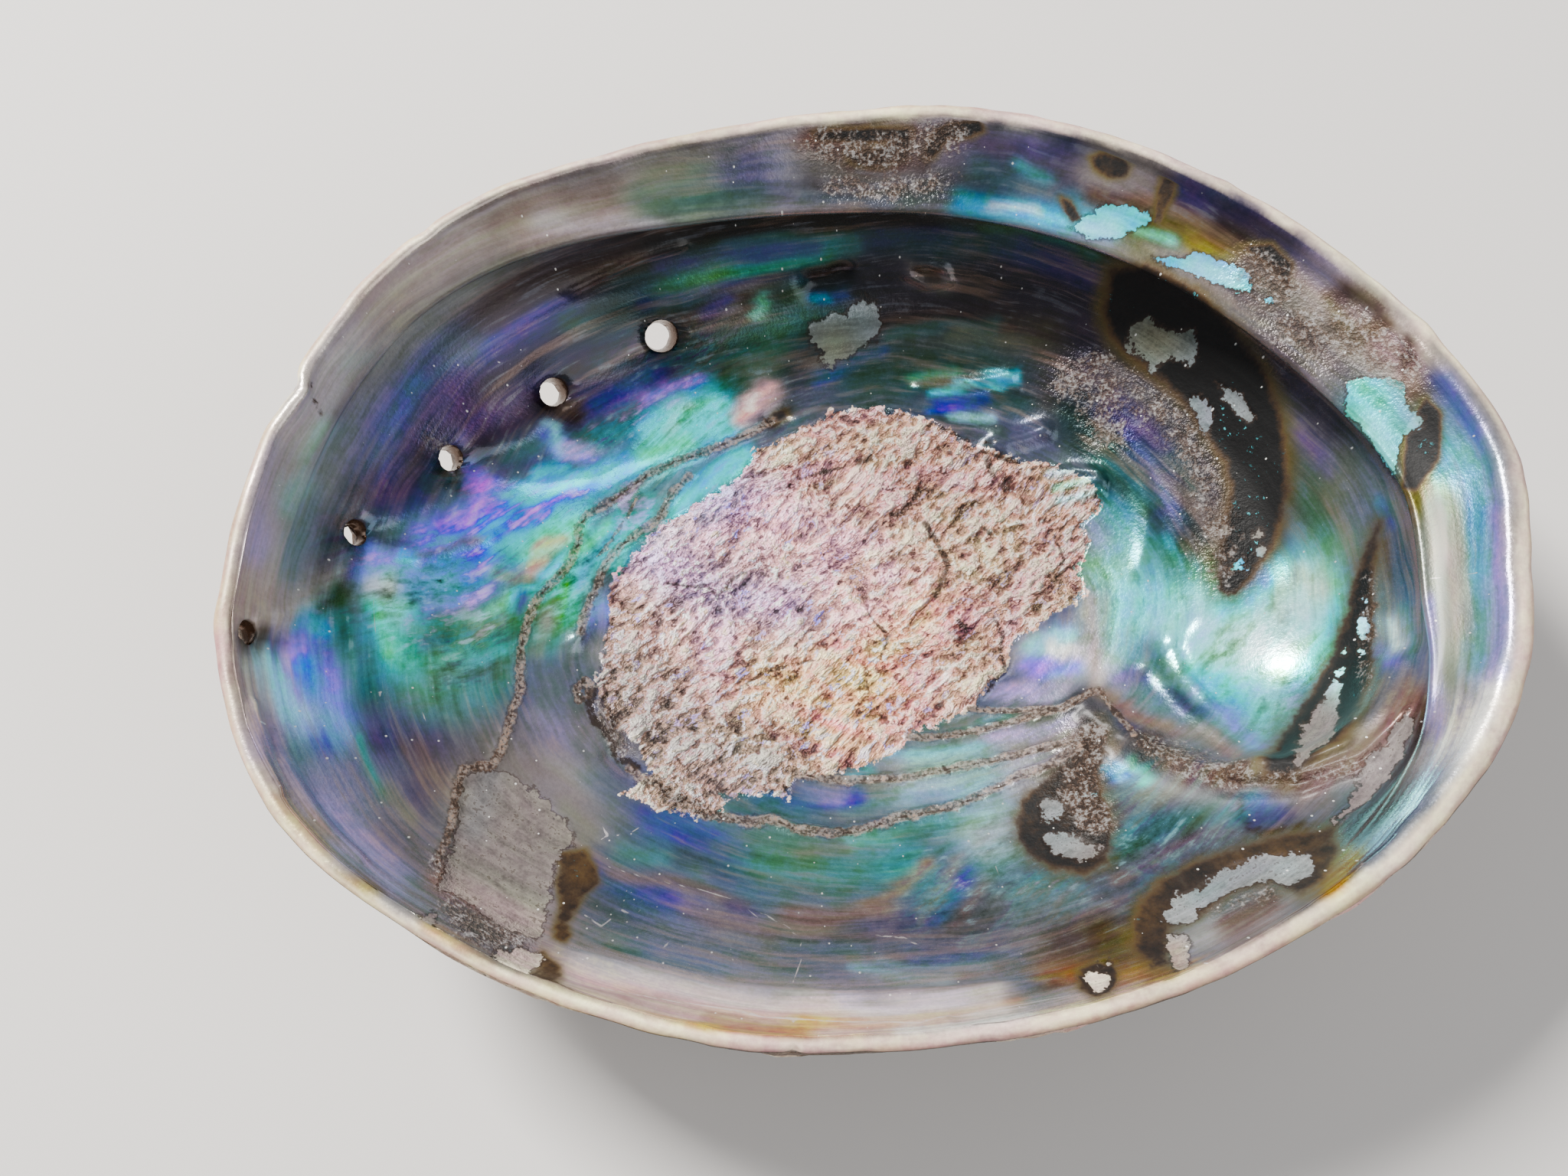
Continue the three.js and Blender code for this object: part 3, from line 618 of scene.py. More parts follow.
    ("lavender", 0.5, 30, (500, 735), (540, 750)),
    ("steel", 0.4, 60, (570, 880), (600, 830)),
    # painted shadow in the furrows of the pores
    ("umber", 0.9, 16, (735, 528), (750, 546)),
    ("umber", 0.9, 18, (592, 614), (608, 634)),
    ("umber", 0.8, 14, (464, 700), (476, 712)),
    ("umber", 0.8, 16, (872, 450), (880, 458)),
    ("lavender", 0.9, 30, (495, 742), (560, 750), (636, 742)),
    ("sky", 0.8, 10, (490, 725), (505, 742), (515, 770)),
    ("violet", 0.7, 18, (540, 790), (600, 782), (640, 772)),
    ("blue", 0.6, 14, (560, 770), (640, 756)),
    ("turquoise", 0.7, 24, (724, 770), (735, 800)),
    ("teal", 0.7, 40, (860, 1050), (960, 1062), (1040, 1050)),
    # painted highlight at the left, below the newest pore
    ("sky", 0.6, 24, (352, 870), (375, 920), (400, 955)),
    ("white", 0.5, 22, (760, 1262), (950, 1300), (1150, 1318), (1300, 1310)),
    # ripples above the scar, with painted highlights along them, and the pale patches at its right
    ("forest", 0.7, 26, (1190, 500), (1260, 510), (1330, 530)),
    ("green", 0.9, 12, (1196, 492), (1240, 486)),
    ("turquoise", 0.9, 9, (1250, 500), (1324, 490)),
    ("cyan", 0.9, 8, (1214, 516), (1260, 512), (1300, 506)),
    ("blue", 0.9, 12, (1220, 534), (1280, 530)),
    ("sky", 0.8, 7, (1240, 546), (1290, 552)),
    ("sky", 0.9, 18, (1346, 850), (1392, 820)),
    ("white", 0.8, 16, (1372, 842), (1404, 846)),
    ("lavender", 0.8, 16, (1352, 880), (1404, 872)),
    ("beige", 0.7, 14, (1432, 780), (1436, 896)),
    ("ash", 0.65, 80, (640, 1030), (660, 1100), (700, 1150)),
    ("clay", 0.5, 30, (590, 1160), (640, 1180)),
    ("turquoise", 0.4, 60, (1280, 1090), (1400, 1080)),
    ("sky", 0.5, 50, (1540, 820), (1620, 850), (1660, 900)),
    ("pearl", 0.75, 40, (1280, 1092), (1350, 1070), (1350, 1020)),
    ("lavender", 0.6, 26, (560, 700), (600, 690), (630, 670)),
    ("cyan", 0.7, 20, (650, 680), (700, 664), (740, 650)),
    ("cyan", 0.6, 16, (840, 560), (880, 545), (930, 535)),
    ("fog", 0.5, 40, (372, 670), (380, 620)),
    ("sky", 0.4, 40, (440, 880), (440, 930)),
    ("turquoise", 0.5, 40, (510, 870), (500, 830)),
    ("sky", 0.3, 34, (1560, 950), (1640, 940)),
    ("fog", 0.35, 60, (880, 1228), (980, 1240)),
    ("lavender", 0.25, 40, (560, 480), (600, 440)),
    ("lavender", 0.4, 18, (640, 742), (664, 736)),
    ("sky", 0.3, 40, (1490, 740)),
    # crisp patches of the bright wall, with its painted reflection in cyan, sky and white
    ("lavender", 0.9, 18, (619, 630), (640, 660)),
    ("lavender", 0.9, 20, (560, 716), (600, 696), (626, 672)),
    ("cyan", 0.7, 12, (640, 676), (662, 676)),
    ("mint", 0.8, 16, (655, 650), (690, 648)),
    ("cyan", 0.9, 13, (684, 640), (760, 630)),
    ("lavender", 0.8, 9, (690, 668), (740, 652), (772, 640)),
    ("lavender", 0.8, 10, (650, 700), (690, 682), (720, 668)),
    ("tan", 0.55, 7, (545, 728), (600, 712), (650, 696)),
    ("lavender", 0.95, 14, (484, 710), (500, 738)),
    ("cyan", 0.8, 9, (520, 726), (542, 736)),
    ("white", 0.6, 14, (490, 758), (520, 766)),
    ("blue", 0.5, 24, (545, 742), (600, 738), (640, 742)),
    ("lavender", 0.8, 20, (540, 752), (600, 764), (640, 746)),
    ("blue", 0.7, 12, (590, 776), (626, 762)),
    ("lavender", 0.9, 10, (560, 792), (606, 786), (640, 772)),
    ("mint", 0.7, 16, (498, 820), (508, 850)),
    ("turquoise", 0.8, 12, (495, 792), (540, 796)),
    ("forest", 0.6, 26, (570, 812), (620, 836), (690, 826)),
    ("mint", 0.8, 24, (698, 704), (742, 690)),
    ("peach", 0.6, 10, (700, 712), (730, 700)),
    ("peach", 0.5, 9, (695, 735), (712, 728)),
    ("moss", 0.9, 12, (655, 748), (692, 760)),
    ("cyan", 0.7, 10, (716, 748), (730, 736)),
    ("turquoise", 0.8, 8, (664, 800), (672, 776), (700, 770)),
    ("violet", 0.7, 10, (678, 800), (684, 784)),
    ("tan", 0.5, 14, (620, 822), (652, 814)),
    ("mint", 0.9, 10, (745, 735), (775, 700), (795, 680)),
    ("dusk", 0.6, 12, (640, 614), (692, 624)),
    ("sky", 0.8, 11, (722, 562), (736, 592)),
    ("lilac", 0.8, 11, (744, 590), (778, 590)),
    ("cyan", 0.7, 10, (708, 622), (730, 612)),
    ("sea", 0.6, 20, (664, 596), (704, 586)),
    ("forest", 0.5, 24, (900, 330), (1000, 318), (1100, 312), (1200, 318), (1290, 325)),
    ("violet", 0.35, 16, (860, 350), (960, 330), (1060, 325)),
    ("gold", 0.4, 24, (1480, 1228), (1500, 1235)),
    ("fog", 0.3, 50, (1350, 1230)),
    ("tan", 0.4, 26, (1620, 1232), (1650, 1225)),
    ("moss", 0.7, 15, (722, 786), (704, 850)),
    ("mint", 0.6, 8, (736, 768), (726, 804)),
    ("lavender", 0.5, 30, (630, 660), (670, 672)),
    ("cyan", 0.5, 22, (640, 690), (680, 700)),
    ("white", 0.3, 30, (500, 770), (520, 800)),
    ("fog", 0.4, 40, (430, 620), (460, 590)),
    ("olive", 0.6, 28, (1446, 1225), (1466, 1262)),
    ("gold", 0.6, 18, (1440, 1288), (1520, 1278)),
    ("amber", 0.8, 20, (1742, 1150), (1766, 1118)),
    ("fog", 0.5, 22, (712, 812)),
    ("sky", 0.4, 22, (650, 740)),
    ("forest", 0.35, 24, (1280, 532)),
    ("ash", 0.3, 90, (1050, 1200), (1200, 1230), (1350, 1190)),
    ("beige", 0.3, 40, (350, 640), (385, 560)),
    ("ash", 0.7, 40, (660, 1000), (720, 1020), (760, 1070)),
    ("ash", 0.4, 60, (640, 980), (740, 1000), (790, 1070)),
    ("moss", 0.4, 20, (740, 1060), (770, 1090)),
]

# The same for the ledge over the hollow.
LEDGE_STROKES = [
    ("ash", 1.0, 160, (480, 440), (560, 380), (700, 310), (900, 240)),
    ("pearl", 0.9, 90, (370, 620), (410, 520), (470, 430), (560, 350)),
    ("moss", 0.5, 60, (540, 400), (620, 340), (700, 300)),
    ("beige", 0.7, 40, (480, 400), (600, 320), (700, 275)),
    ("beige", 0.8, 46, (700, 300), (780, 285), (860, 275)),
    ("brown", 0.35, 26, (650, 290), (720, 270), (800, 255)),
    ("moss", 0.8, 44, (870, 240), (930, 230)),
    ("forest", 0.7, 40, (860, 265), (930, 250), (990, 240)),
    ("indigo", 0.6, 34, (960, 215), (1010, 215), (1030, 240)),
    ("steel", 0.6, 26, (1030, 220), (1045, 245)),
    ("ash", 1.0, 80, (1090, 215), (1160, 215), (1240, 200)),
    ("brown", 0.9, 20, (1060, 180), (1130, 172), (1190, 175)),
    ("brown", 0.9, 20, (1105, 205), (1180, 208)),
    ("brown", 0.8, 16, (1200, 215), (1220, 185)),
    ("fog", 0.6, 16, (1080, 235), (1130, 240), (1180, 225)),
    ("fog", 0.6, 12, (1210, 235), (1235, 200)),
    ("steel", 0.8, 12, (1050, 262), (1140, 265), (1240, 262)),
    ("dusk", 1.0, 90, (1270, 200), (1330, 220), (1390, 240)),
    ("teal", 0.7, 28, (1270, 230), (1350, 250)),
    ("indigo", 0.8, 24, (1340, 185), (1400, 190)),
    ("turquoise", 0.5, 16, (1330, 215), (1365, 240)),
    ("cyan", 0.95, 18, (1250, 265), (1320, 275), (1390, 290)),
    ("white", 0.7, 9, (1290, 270), (1350, 280)),
    ("turquoise", 0.8, 30, (1400, 280), (1450, 290)),
    ("ash", 1.0, 44, (1430, 225), (1500, 230)),
    ("brown", 0.8, 16, (1430, 258), (1500, 262)),
    ("brown", 0.9, 24, (1530, 240), (1550, 275)),
    ("olive", 1.0, 40, (1490, 305), (1560, 300), (1620, 310)),
    ("mint", 0.8, 13, (1485, 308), (1525, 320)),
    ("amber", 0.5, 20, (1560, 320), (1610, 330)),
    ("indigo", 1.0, 44, (1560, 240), (1640, 275), (1700, 325), (1740, 370)),
    ("umber", 0.7, 30, (1600, 290), (1660, 330), (1700, 370)),
    ("ash", 1.0, 40, (1630, 350), (1670, 370)),
    ("beige", 1.0, 90, (1690, 410), (1760, 440), (1820, 470)),
    ("olive", 0.7, 16, (1740, 385), (1745, 425), (1775, 440), (1810, 425)),
    ("umber", 0.8, 24, (1760, 385), (1800, 400)),
    ("rose", 0.5, 24, (1800, 460), (1840, 480)),
    ("umber", 0.8, 14, (1838, 450), (1842, 480)),
    ("ash", 0.6, 16, (1680, 420), (1760, 480), (1820, 480)),
    ("turquoise", 0.6, 50, (1780, 540), (1810, 600)),
    ("brown", 0.8, 30, (1850, 520), (1870, 510)),
    ("olive", 1.0, 50, (1850, 570), (1870, 610), (1850, 650)),
    ("blue", 0.6, 26, (1890, 500), (1930, 580), (1950, 660)),
    ("turquoise", 0.5, 34, (1900, 600), (1920, 660)),
    ("moss", 1.0, 70, (1890, 700), (1905, 780), (1915, 860)),
    ("cream", 0.5, 20, (1880, 690), (1895, 730)),
    ("violet", 0.4, 20, (1920, 620), (1945, 720), (1950, 800)),
    ("sea", 0.5, 24, (1885, 700), (1900, 780)),
    ("mint", 0.4, 24, (1890, 650), (1900, 690)),
    ("lilac", 0.8, 26, (1940, 700), (1948, 800), (1930, 870)),
    ("lavender", 0.5, 16, (1870, 780), (1872, 870), (1868, 960)),
    ("steel", 0.6, 20, (1870, 900), (1862, 960), (1850, 1000)),
    ("cream", 0.8, 20, (1925, 930), (1900, 980), (1870, 1030)),
    # painted shadow along the ledge's edge at the lower right
    ("umber", 0.7, 20, (1850, 960), (1820, 1030), (1770, 1085)),
    # painted highlight: the white glare along the ledge at the lower right
    ("white", 1.0, 30, (1951, 888), (1925, 950), (1885, 1015), (1840, 1070), (1790, 1115), (1750, 1145)),
    ("white", 0.9, 22, (1893, 1000), (1840, 1080), (1765, 1145)),
    ("turquoise", 0.8, 34, (1866, 560), (1900, 620), (1915, 720), (1920, 850)),
    ("olive", 0.6, 20, (1858, 560), (1845, 640)),
    ("cream", 0.5, 22, (1884, 660), (1900, 760), (1905, 860)),
    ("mint", 0.5, 14, (1896, 640), (1912, 740)),
    ("lavender", 0.6, 16, (1944, 640), (1960, 760), (1962, 880)),
    ("ash", 0.5, 50, (1680, 400), (1760, 450)),
    ("fog", 0.5, 40, (372, 670), (380, 620)),
    ("pearl", 0.5, 30, (1836, 1030), (1850, 1000)),
    ("moss", 0.6, 26, (1892, 650), (1906, 760), (1908, 860)),
    ("cream", 0.5, 16, (1890, 700), (1902, 780), (1904, 850)),
    ("lilac", 0.6, 20, (1948, 640), (1956, 760), (1950, 880)),
    ("turquoise", 0.4, 14, (1930, 640), (1934, 740)),
    ("pearl", 0.5, 24, (715, 290), (850, 290)),
    ("moss", 0.6, 24, (1884, 680), (1894, 780), (1890, 880)),
    ("beige", 0.4, 20, (1896, 720), (1904, 820)),
    ("ash", 0.45, 26, (1340, 250), (1370, 256)),
    ("cream", 0.5, 22, (1834, 1030), (1850, 1000)),
    ("beige", 0.35, 60, (400, 520), (470, 420), (560, 350)),
]

# The soft masks of speckled, crumbly areas: strength, reach and places, as above.
CRUMB_STROKES = [
    (0.75, 40, (1070, 190), (1150, 200), (1200, 190), (1240, 170)),
    (0.6, 30, (1090, 240), (1170, 250), (1230, 240)),
    (0.66, 44, (1400, 500), (1430, 480), (1450, 560)),
    (0.6, 40, (1460, 500), (1540, 560), (1590, 680), (1600, 740)),
    (0.8, 40, (1640, 350), (1680, 380)),
    (0.75, 56, (1700, 430), (1780, 440), (1830, 470)),
    (1.0, 34, (1424, 960), (1418, 1000), (1404, 1040), (1430, 1070)),
    (0.9, 26, (1500, 975), (1560, 1000), (1620, 1015)),
    (1.0, 30, (600, 1200), (640, 1220), (675, 1225)),
    (0.7, 22, (575, 1130), (590, 1180)),
    (0.5, 26, (1590, 1190), (1660, 1170)),
    (0.9, 18, (785, 920), (800, 950), (815, 975)),
    (0.6, 20, (1640, 1020), (1730, 1015), (1790, 990)),
    (0.5, 20, (1790, 760), (1790, 830), (1780, 900)),
    (0.6, 18, (560, 570), (580, 580)),
]

# Painted shadow: where the shades are darker than painted.
SHADOW_STROKES = [
    (0.3, 60, (560, 620), (660, 520)),
    (0.55, 70, (660, 500), (720, 450), (800, 410), (880, 440)),
    (0.5, 80, (1430, 530), (1500, 560), (1560, 630), (1560, 690)),
    (0.4, 50, (1410, 460), (1490, 460)),
    (0.5, 60, (1630, 380), (1700, 450)),
    (0.35, 60, (1770, 530), (1750, 500)),
    (0.45, 50, (1070, 240), (1150, 250), (1280, 250)),
    (0.35, 40, (1400, 180), (1500, 200), (1600, 260), (1680, 310)),
    (0.3, 40, (1440, 440), (1500, 460), (1500, 640)),
    (0.2, 130, (1280, 1190), (1490, 1120), (1560, 1060)),
    (0.3, 60, (1700, 1020), (1770, 960)),
    (0.25, 50, (1610, 1170), (1670, 1150)),
    (0.25, 50, (1840, 740), (1850, 700)),
    (0.25, 50, (1910, 670), (1915, 720)),
    (0.2, 110, (640, 1020), (660, 1100), (720, 1120)),
    (0.6, 34, (1410, 915), (1450, 960), (1500, 990)),
    (0.4, 26, (1500, 850), (1530, 890), (1560, 930)),
    (0.3, 50, (1490, 600), (1430, 670)),
    (0.25, 50, (1700, 600), (1720, 660)),
    (0.3, 26, (1140, 600), (1280, 606)),
    (0.2, 50, (1910, 800), (1912, 840)),
    (0.25, 16, (440, 540), (500, 440), (597, 368), (700, 325), (800, 298), (880, 285)),
    (0.18, 40, (1625, 390)),
    (0.12, 110, (1000, 620), (1130, 640), (1280, 670)),
    (0.15, 60, (720, 460)),
    (0.14, 40, (1630, 1225)),
    (0.15, 50, (1770, 950)),
    (0.1, 60, (1000, 600)),
    (0.1, 60, (1280, 670)),
    (0.22, 30, (1882, 660), (1892, 760), (1888, 880)),
    (0.2, 60, (1240, 590), (1330, 610)),
    (0.1, 80, (1000, 670)),
    (0.15, 30, (1760, 950), (1780, 950)),
]

# Where the surface is dull and its streaks are faint.
DULL_STROKES = [
    (1.0, 90, (640, 1040), (680, 1090), (680, 1160)),
    (1.0, 46, (1420, 900), (1470, 960), (1560, 1005), (1680, 1015), (1800, 975)),
    (0.6, 90, (310, 880), (330, 750), (370, 600), (430, 480), (540, 370), (700, 290), (860, 250)),
    (0.8, 50, (1070, 200), (1150, 205), (1240, 200)),
    (0.8, 50, (1660, 360), (1760, 440), (1830, 480)),
    (0.8, 40, (1440, 500), (1500, 540), (1580, 680)),
    (0.8, 40, (1570, 1215), (1650, 1185), (1710, 1150)),
    (0.7, 34, (700, 1265), (900, 1310), (1100, 1330), (1300, 1310)),
    (0.9, 30, (1430, 220), (1500, 230)),
    (0.9, 40, (1500, 1010), (1600, 1040), (1720, 1030), (1800, 1000)),
    (0.7, 30, (1880, 660), (1892, 760), (1890, 880)),
    (1.0, 50, (660, 1000), (730, 1020), (770, 1080)),
]

# Where the streaks run across the growth lines, towards the upper right; there the nacre is also painted
# brighter, as painted reflection.
SILK_AND_SHEEN_STROKES = [
    (1.0, 120, (520, 780), (640, 720), (780, 650), (920, 560)),
    (1.0, 60, (600, 860), (640, 820)),
    (0.8, 90, (1250, 1150), (1340, 1130), (1450, 1110), (1560, 1080)),
    (1.0, 60, (720, 800), (780, 720), (860, 660)),
    (1.0, 80, (1600, 850), (1700, 870)),
]

# Dark stains: how deep into the stain the shade still darkens, how crisp its side is, and the outline.
STAINS = [
    (60, 1, [
        (1440, 400), (1450, 352), (1500, 345), (1565, 380),
        (1614, 430), (1655, 490), (1674, 544), (1682, 602),
        (1683, 640), (1676, 677), (1662, 715), (1642, 748),
        (1620, 775), (1605, 782), (1592, 772), (1588, 750),
        (1591, 716), (1599, 677), (1606, 640), (1600, 605),
        (1570, 567), (1548, 530), (1520, 500), (1480, 470),
        (1450, 440),
    ]),
    (26, 1, [
        (1803, 680), (1785, 705), (1770, 746), (1758, 804),
        (1738, 857), (1708, 907), (1672, 962), (1650, 995),
        (1655, 1012), (1684, 1018), (1700, 1004), (1727, 984),
        (1754, 964), (1776, 926), (1792, 888), (1796, 850),
        (1796, 746),
    ]),
    (4, 2.5, [
        (726, 1115), (765, 1111), (776, 1132), (784, 1151),
        (765, 1167), (753, 1186), (742, 1205), (745, 1220),
        (738, 1230), (724, 1224), (728, 1197), (732, 1182), (728, 1151), (734, 1132),
    ]),
    (3, 2.5, [
        (709, 1241), (716, 1252), (730, 1262), (734, 1278),
        (715, 1297), (688, 1303), (665, 1285), (640, 1264),
        (680, 1284), (696, 1266), (705, 1255),
    ]),
    (8, 2.5, [
        (1408, 1268), (1420, 1262), (1440, 1258), (1456, 1262),
        (1460, 1276), (1452, 1296), (1430, 1304), (1410, 1292),
    ]),
    (9, 1, [
        (1348, 1030), (1333, 1050), (1327, 1075), (1330, 1098),
        (1345, 1120), (1375, 1136), (1420, 1140),
        (1446, 1128), (1452, 1096), (1455, 1070), (1442, 1040),
        (1434, 1010), (1446, 978), (1434, 948), (1412, 956),
        (1402, 988), (1374, 1012),
    ]),
    (5, 1, [
        (1738, 1082), (1678, 1092), (1612, 1108), (1563, 1127),
        (1524, 1146), (1494, 1173), (1481, 1205),
        (1482, 1240), (1505, 1265), (1526, 1262), (1522, 1213),
        (1560, 1200), (1612, 1163), (1658, 1152),
        (1700, 1166), (1732, 1144), (1746, 1108),
    ]),
    (8, 2.5, [(435, 1144), (462, 1150), (500, 1170), (480, 1174), (458, 1172)]),
    (12, 2.5, [(1062, 172), (1130, 165), (1190, 168), (1188, 182), (1120, 186), (1065, 184)]),
    (12, 2.5, [(1102, 196), (1150, 192), (1192, 176), (1185, 205), (1150, 216), (1112, 212)]),
    (12, 2.5, [
        (1206, 205), (1212, 178), (1236, 160), (1282, 156),
        (1286, 170), (1268, 180), (1240, 182), (1222, 205),
    ]),
    (8, 2.5, [(1424, 206), (1440, 200), (1462, 205), (1478, 216), (1470, 230), (1448, 232), (1430, 222)]),
    (6, 2.5, [(1528, 205), (1538, 225), (1534, 250), (1516, 290), (1508, 292), (1512, 255), (1520, 225)]),
    (12, 2.5, [(1385, 258), (1398, 262), (1412, 284), (1400, 292), (1390, 275)]),
    (12, 2.5, [(1620, 322), (1660, 318), (1688, 345), (1684, 380), (1664, 352)]),
    (12, 2.5, [(1838, 560), (1862, 520), (1884, 540), (1880, 600), (1850, 640), (1832, 640), (1834, 590)]),
    (12, 2.5, [(1012, 552), (1010, 540), (1026, 534), (1030, 546)]),
]

# Matte plates where the top layer has flaked away, with crisp ragged outlines.
PLATES = [
    [
        (1478, 426), (1500, 418), (1534, 433), (1561, 430), (1565, 464), (1553, 477), (1534, 464),
        (1515, 476), (1503, 487), (1492, 468), (1473, 456),
    ],
    [(1553, 521), (1568, 518), (1586, 537), (1580, 564), (1572, 571), (1561, 541)],
    [(1590, 500), (1612, 512), (1640, 545), (1632, 552), (1600, 520)],
    [
        (1521, 1205), (1519, 1194), (1536, 1171), (1563, 1159),
        (1586, 1144), (1609, 1127), (1639, 1119),
        (1689, 1112), (1716, 1121), (1716, 1140), (1685, 1156),
        (1655, 1150), (1612, 1161), (1567, 1186),
        (1559, 1201), (1536, 1207),
    ],
    [(1360, 1048), (1379, 1045), (1394, 1056), (1387, 1071), (1364, 1071)],
    [(1364, 1094), (1387, 1089), (1417, 1096), (1440, 1110), (1440, 1123), (1410, 1123), (1379, 1113)],
    [
        (1840, 926), (1844, 953), (1829, 991), (1802, 1026), (1775, 1052), (1744, 1070), (1760, 1041),
        (1783, 1003), (1813, 964),
    ],
    [
        (1698, 953), (1718, 926), (1733, 907), (1744, 888), (1752, 892), (1748, 915), (1744, 945),
        (1733, 972), (1706, 987), (1695, 1003), (1689, 987), (1695, 972),
    ],
    [
        (642, 1243), (661, 1239), (688, 1236), (709, 1251), (707, 1262), (692, 1266), (688, 1278),
        (675, 1283), (665, 1270), (646, 1255),
    ],
    [(461, 1176), (480, 1172), (505, 1180), (519, 1200), (510, 1216), (490, 1206), (470, 1190)],
    [(546, 1196), (560, 1192), (572, 1206), (566, 1220), (550, 1212)],
    [(1526, 1222), (1540, 1219), (1555, 1234), (1552, 1262), (1538, 1268), (1526, 1256)],
    [(1412, 1272), (1432, 1266), (1450, 1278), (1444, 1296), (1424, 1299)],
    [(1440, 1256), (1450, 1254), (1452, 1262), (1442, 1264)],
    [
        (604, 1016), (640, 1004), (672, 1012), (700, 1034),
        (722, 1056), (744, 1082), (752, 1104), (736, 1108),
        (722, 1130), (716, 1190), (700, 1226), (650, 1206),
        (604, 1172), (574, 1160), (592, 1110), (600, 1060),
    ],
]

# Bright nacre that shows between dark or crusty areas, with crisp ragged outlines.
WINDOWS = [
    [
        (1756, 510), (1779, 493), (1821, 493), (1836, 506), (1836, 533), (1857, 544), (1855, 556),
        (1832, 571), (1825, 594), (1825, 625), (1806, 602), (1783, 564), (1760, 541),
    ],
    [
        (1507, 338), (1565, 332), (1591, 342), (1626, 353), (1633, 372), (1637, 388), (1614, 380),
        (1572, 365), (1545, 353),
    ],
    [
        (1400, 296), (1419, 280), (1446, 269), (1503, 277), (1505, 288), (1477, 301), (1465, 311),
        (1442, 315), (1415, 307),
    ],
    [(1650, 388), (1660, 386), (1663, 394), (1653, 397)],
    [
        (1055, 421), (1074, 425), (1086, 409), (1105, 413), (1128, 383), (1136, 398), (1147, 398),
        (1149, 432), (1143, 444), (1120, 455), (1097, 471),
        (1086, 480), (1074, 471), (1074, 459), (1059, 448),
    ],
    [(1780, 782), (1788, 781), (1789, 790), (1781, 791)],
    [(1773, 810), (1785, 808), (1787, 820), (1780, 830), (1773, 822)],
    [(1749, 847), (1758, 847), (1758, 857), (1749, 857)],
    [(1776, 848), (1785, 848), (1784, 858), (1776, 857)],
    [(1745, 873), (1755, 872), (1755, 883), (1745, 883)],
    [(1612, 734), (1622, 730), (1626, 744), (1612, 748)],
    [(1596, 690), (1604, 688), (1604, 698), (1597, 698)],
    [(1641, 694), (1649, 694), (1649, 702), (1641, 702)],
    [(1640, 718), (1652, 716), (1650, 724), (1642, 726)],
]

# The shades of the plates and windows.
PLATE_STROKES = [
    ("ash", 1.0, 9000, (1000, 800)),
    ("steel", 1.0, 120, (1540, 500), (1570, 550)),
    ("moss", 0.8, 50, (1510, 440)),
    ("fog", 0.9, 80, (1560, 1180), (1700, 1130)),
    ("steel", 0.7, 16, (1560, 1170), (1610, 1150), (1680, 1130)),
    ("steel", 0.8, 60, (1380, 1080)),
    ("fog", 0.5, 60, (1800, 1000)),
    ("turquoise", 0.9, 80, (1780, 520), (1800, 600)),
    ("sky", 0.6, 30, (1790, 560), (1815, 610)),
    ("turquoise", 1.0, 60, (1520, 345), (1620, 370), (1656, 391)),
    ("sky", 0.7, 26, (1560, 350), (1610, 365)),
    ("turquoise", 1.0, 60, (1420, 290), (1480, 290)),
    ("sky", 0.7, 26, (1415, 300), (1450, 300)),
    ("cream", 1.0, 60, (680, 1260)),
    ("beige", 1.0, 60, (490, 1195)),
    ("cream", 1.0, 40, (1430, 1280)),
    ("fog", 1.0, 40, (1540, 1245)),
    ("steel", 1.0, 90, (1100, 430)),
    ("moss", 0.7, 40, (1090, 450)),
    ("sky", 1.0, 40, (1780, 785), (1780, 820), (1752, 880)),
    ("turquoise", 1.0, 30, (1618, 740)),
    ("steel", 0.55, 40, (1530, 1190), (1600, 1150), (1700, 1130)),
    ("slate", 0.35, 26, (1570, 1160), (1640, 1130)),
    ("gold", 0.3, 20, (1535, 1240), (1538, 1256)),
    ("ash", 0.4, 26, (1620, 1160), (1650, 1150)),
    ("ash", 0.75, 90, (640, 1040), (690, 1100), (690, 1180)),
    ("beige", 0.45, 26, (600, 1160), (650, 1180), (700, 1200)),
    ("moss", 0.35, 30, (740, 1040), (760, 1090)),
    ("slate", 0.3, 26, (640, 1010), (620, 1080)),
]

# Outlines by the name of their mark, each with its limit and sharpness.
OUTLINES = {
    "stains": STAINS,
    "plates": [(40, 1, outline) for outline in PLATES],
    "windows": [(40, 1, outline) for outline in WINDOWS],
}

# The muscle scar's outline.
SCAR_OUTLINE = [
    (794, 821), (798, 770), (822, 730), (857, 690), (892, 668),
    (930, 645), (969, 622), (985, 590), (1046, 562),
    (1088, 540), (1130, 532), (1172, 536), (1228, 556),
    (1270, 583), (1330, 600), (1368, 604), (1438, 640),
    (1436, 666), (1413, 686), (1422, 709), (1410, 737),
    (1415, 779), (1375, 802), (1340, 828), (1316, 845),
    (1313, 877), (1298, 886), (1270, 922), (1235, 942),
    (1193, 956), (1172, 980), (1130, 1003), (1081, 1012),
    (1040, 1017), (1029, 1040), (1011, 1040), (948, 1040),
    (944, 1068), (891, 1064), (850, 1050), (812, 1037),
    (850, 1010), (835, 970), (800, 945), (780, 898),
]

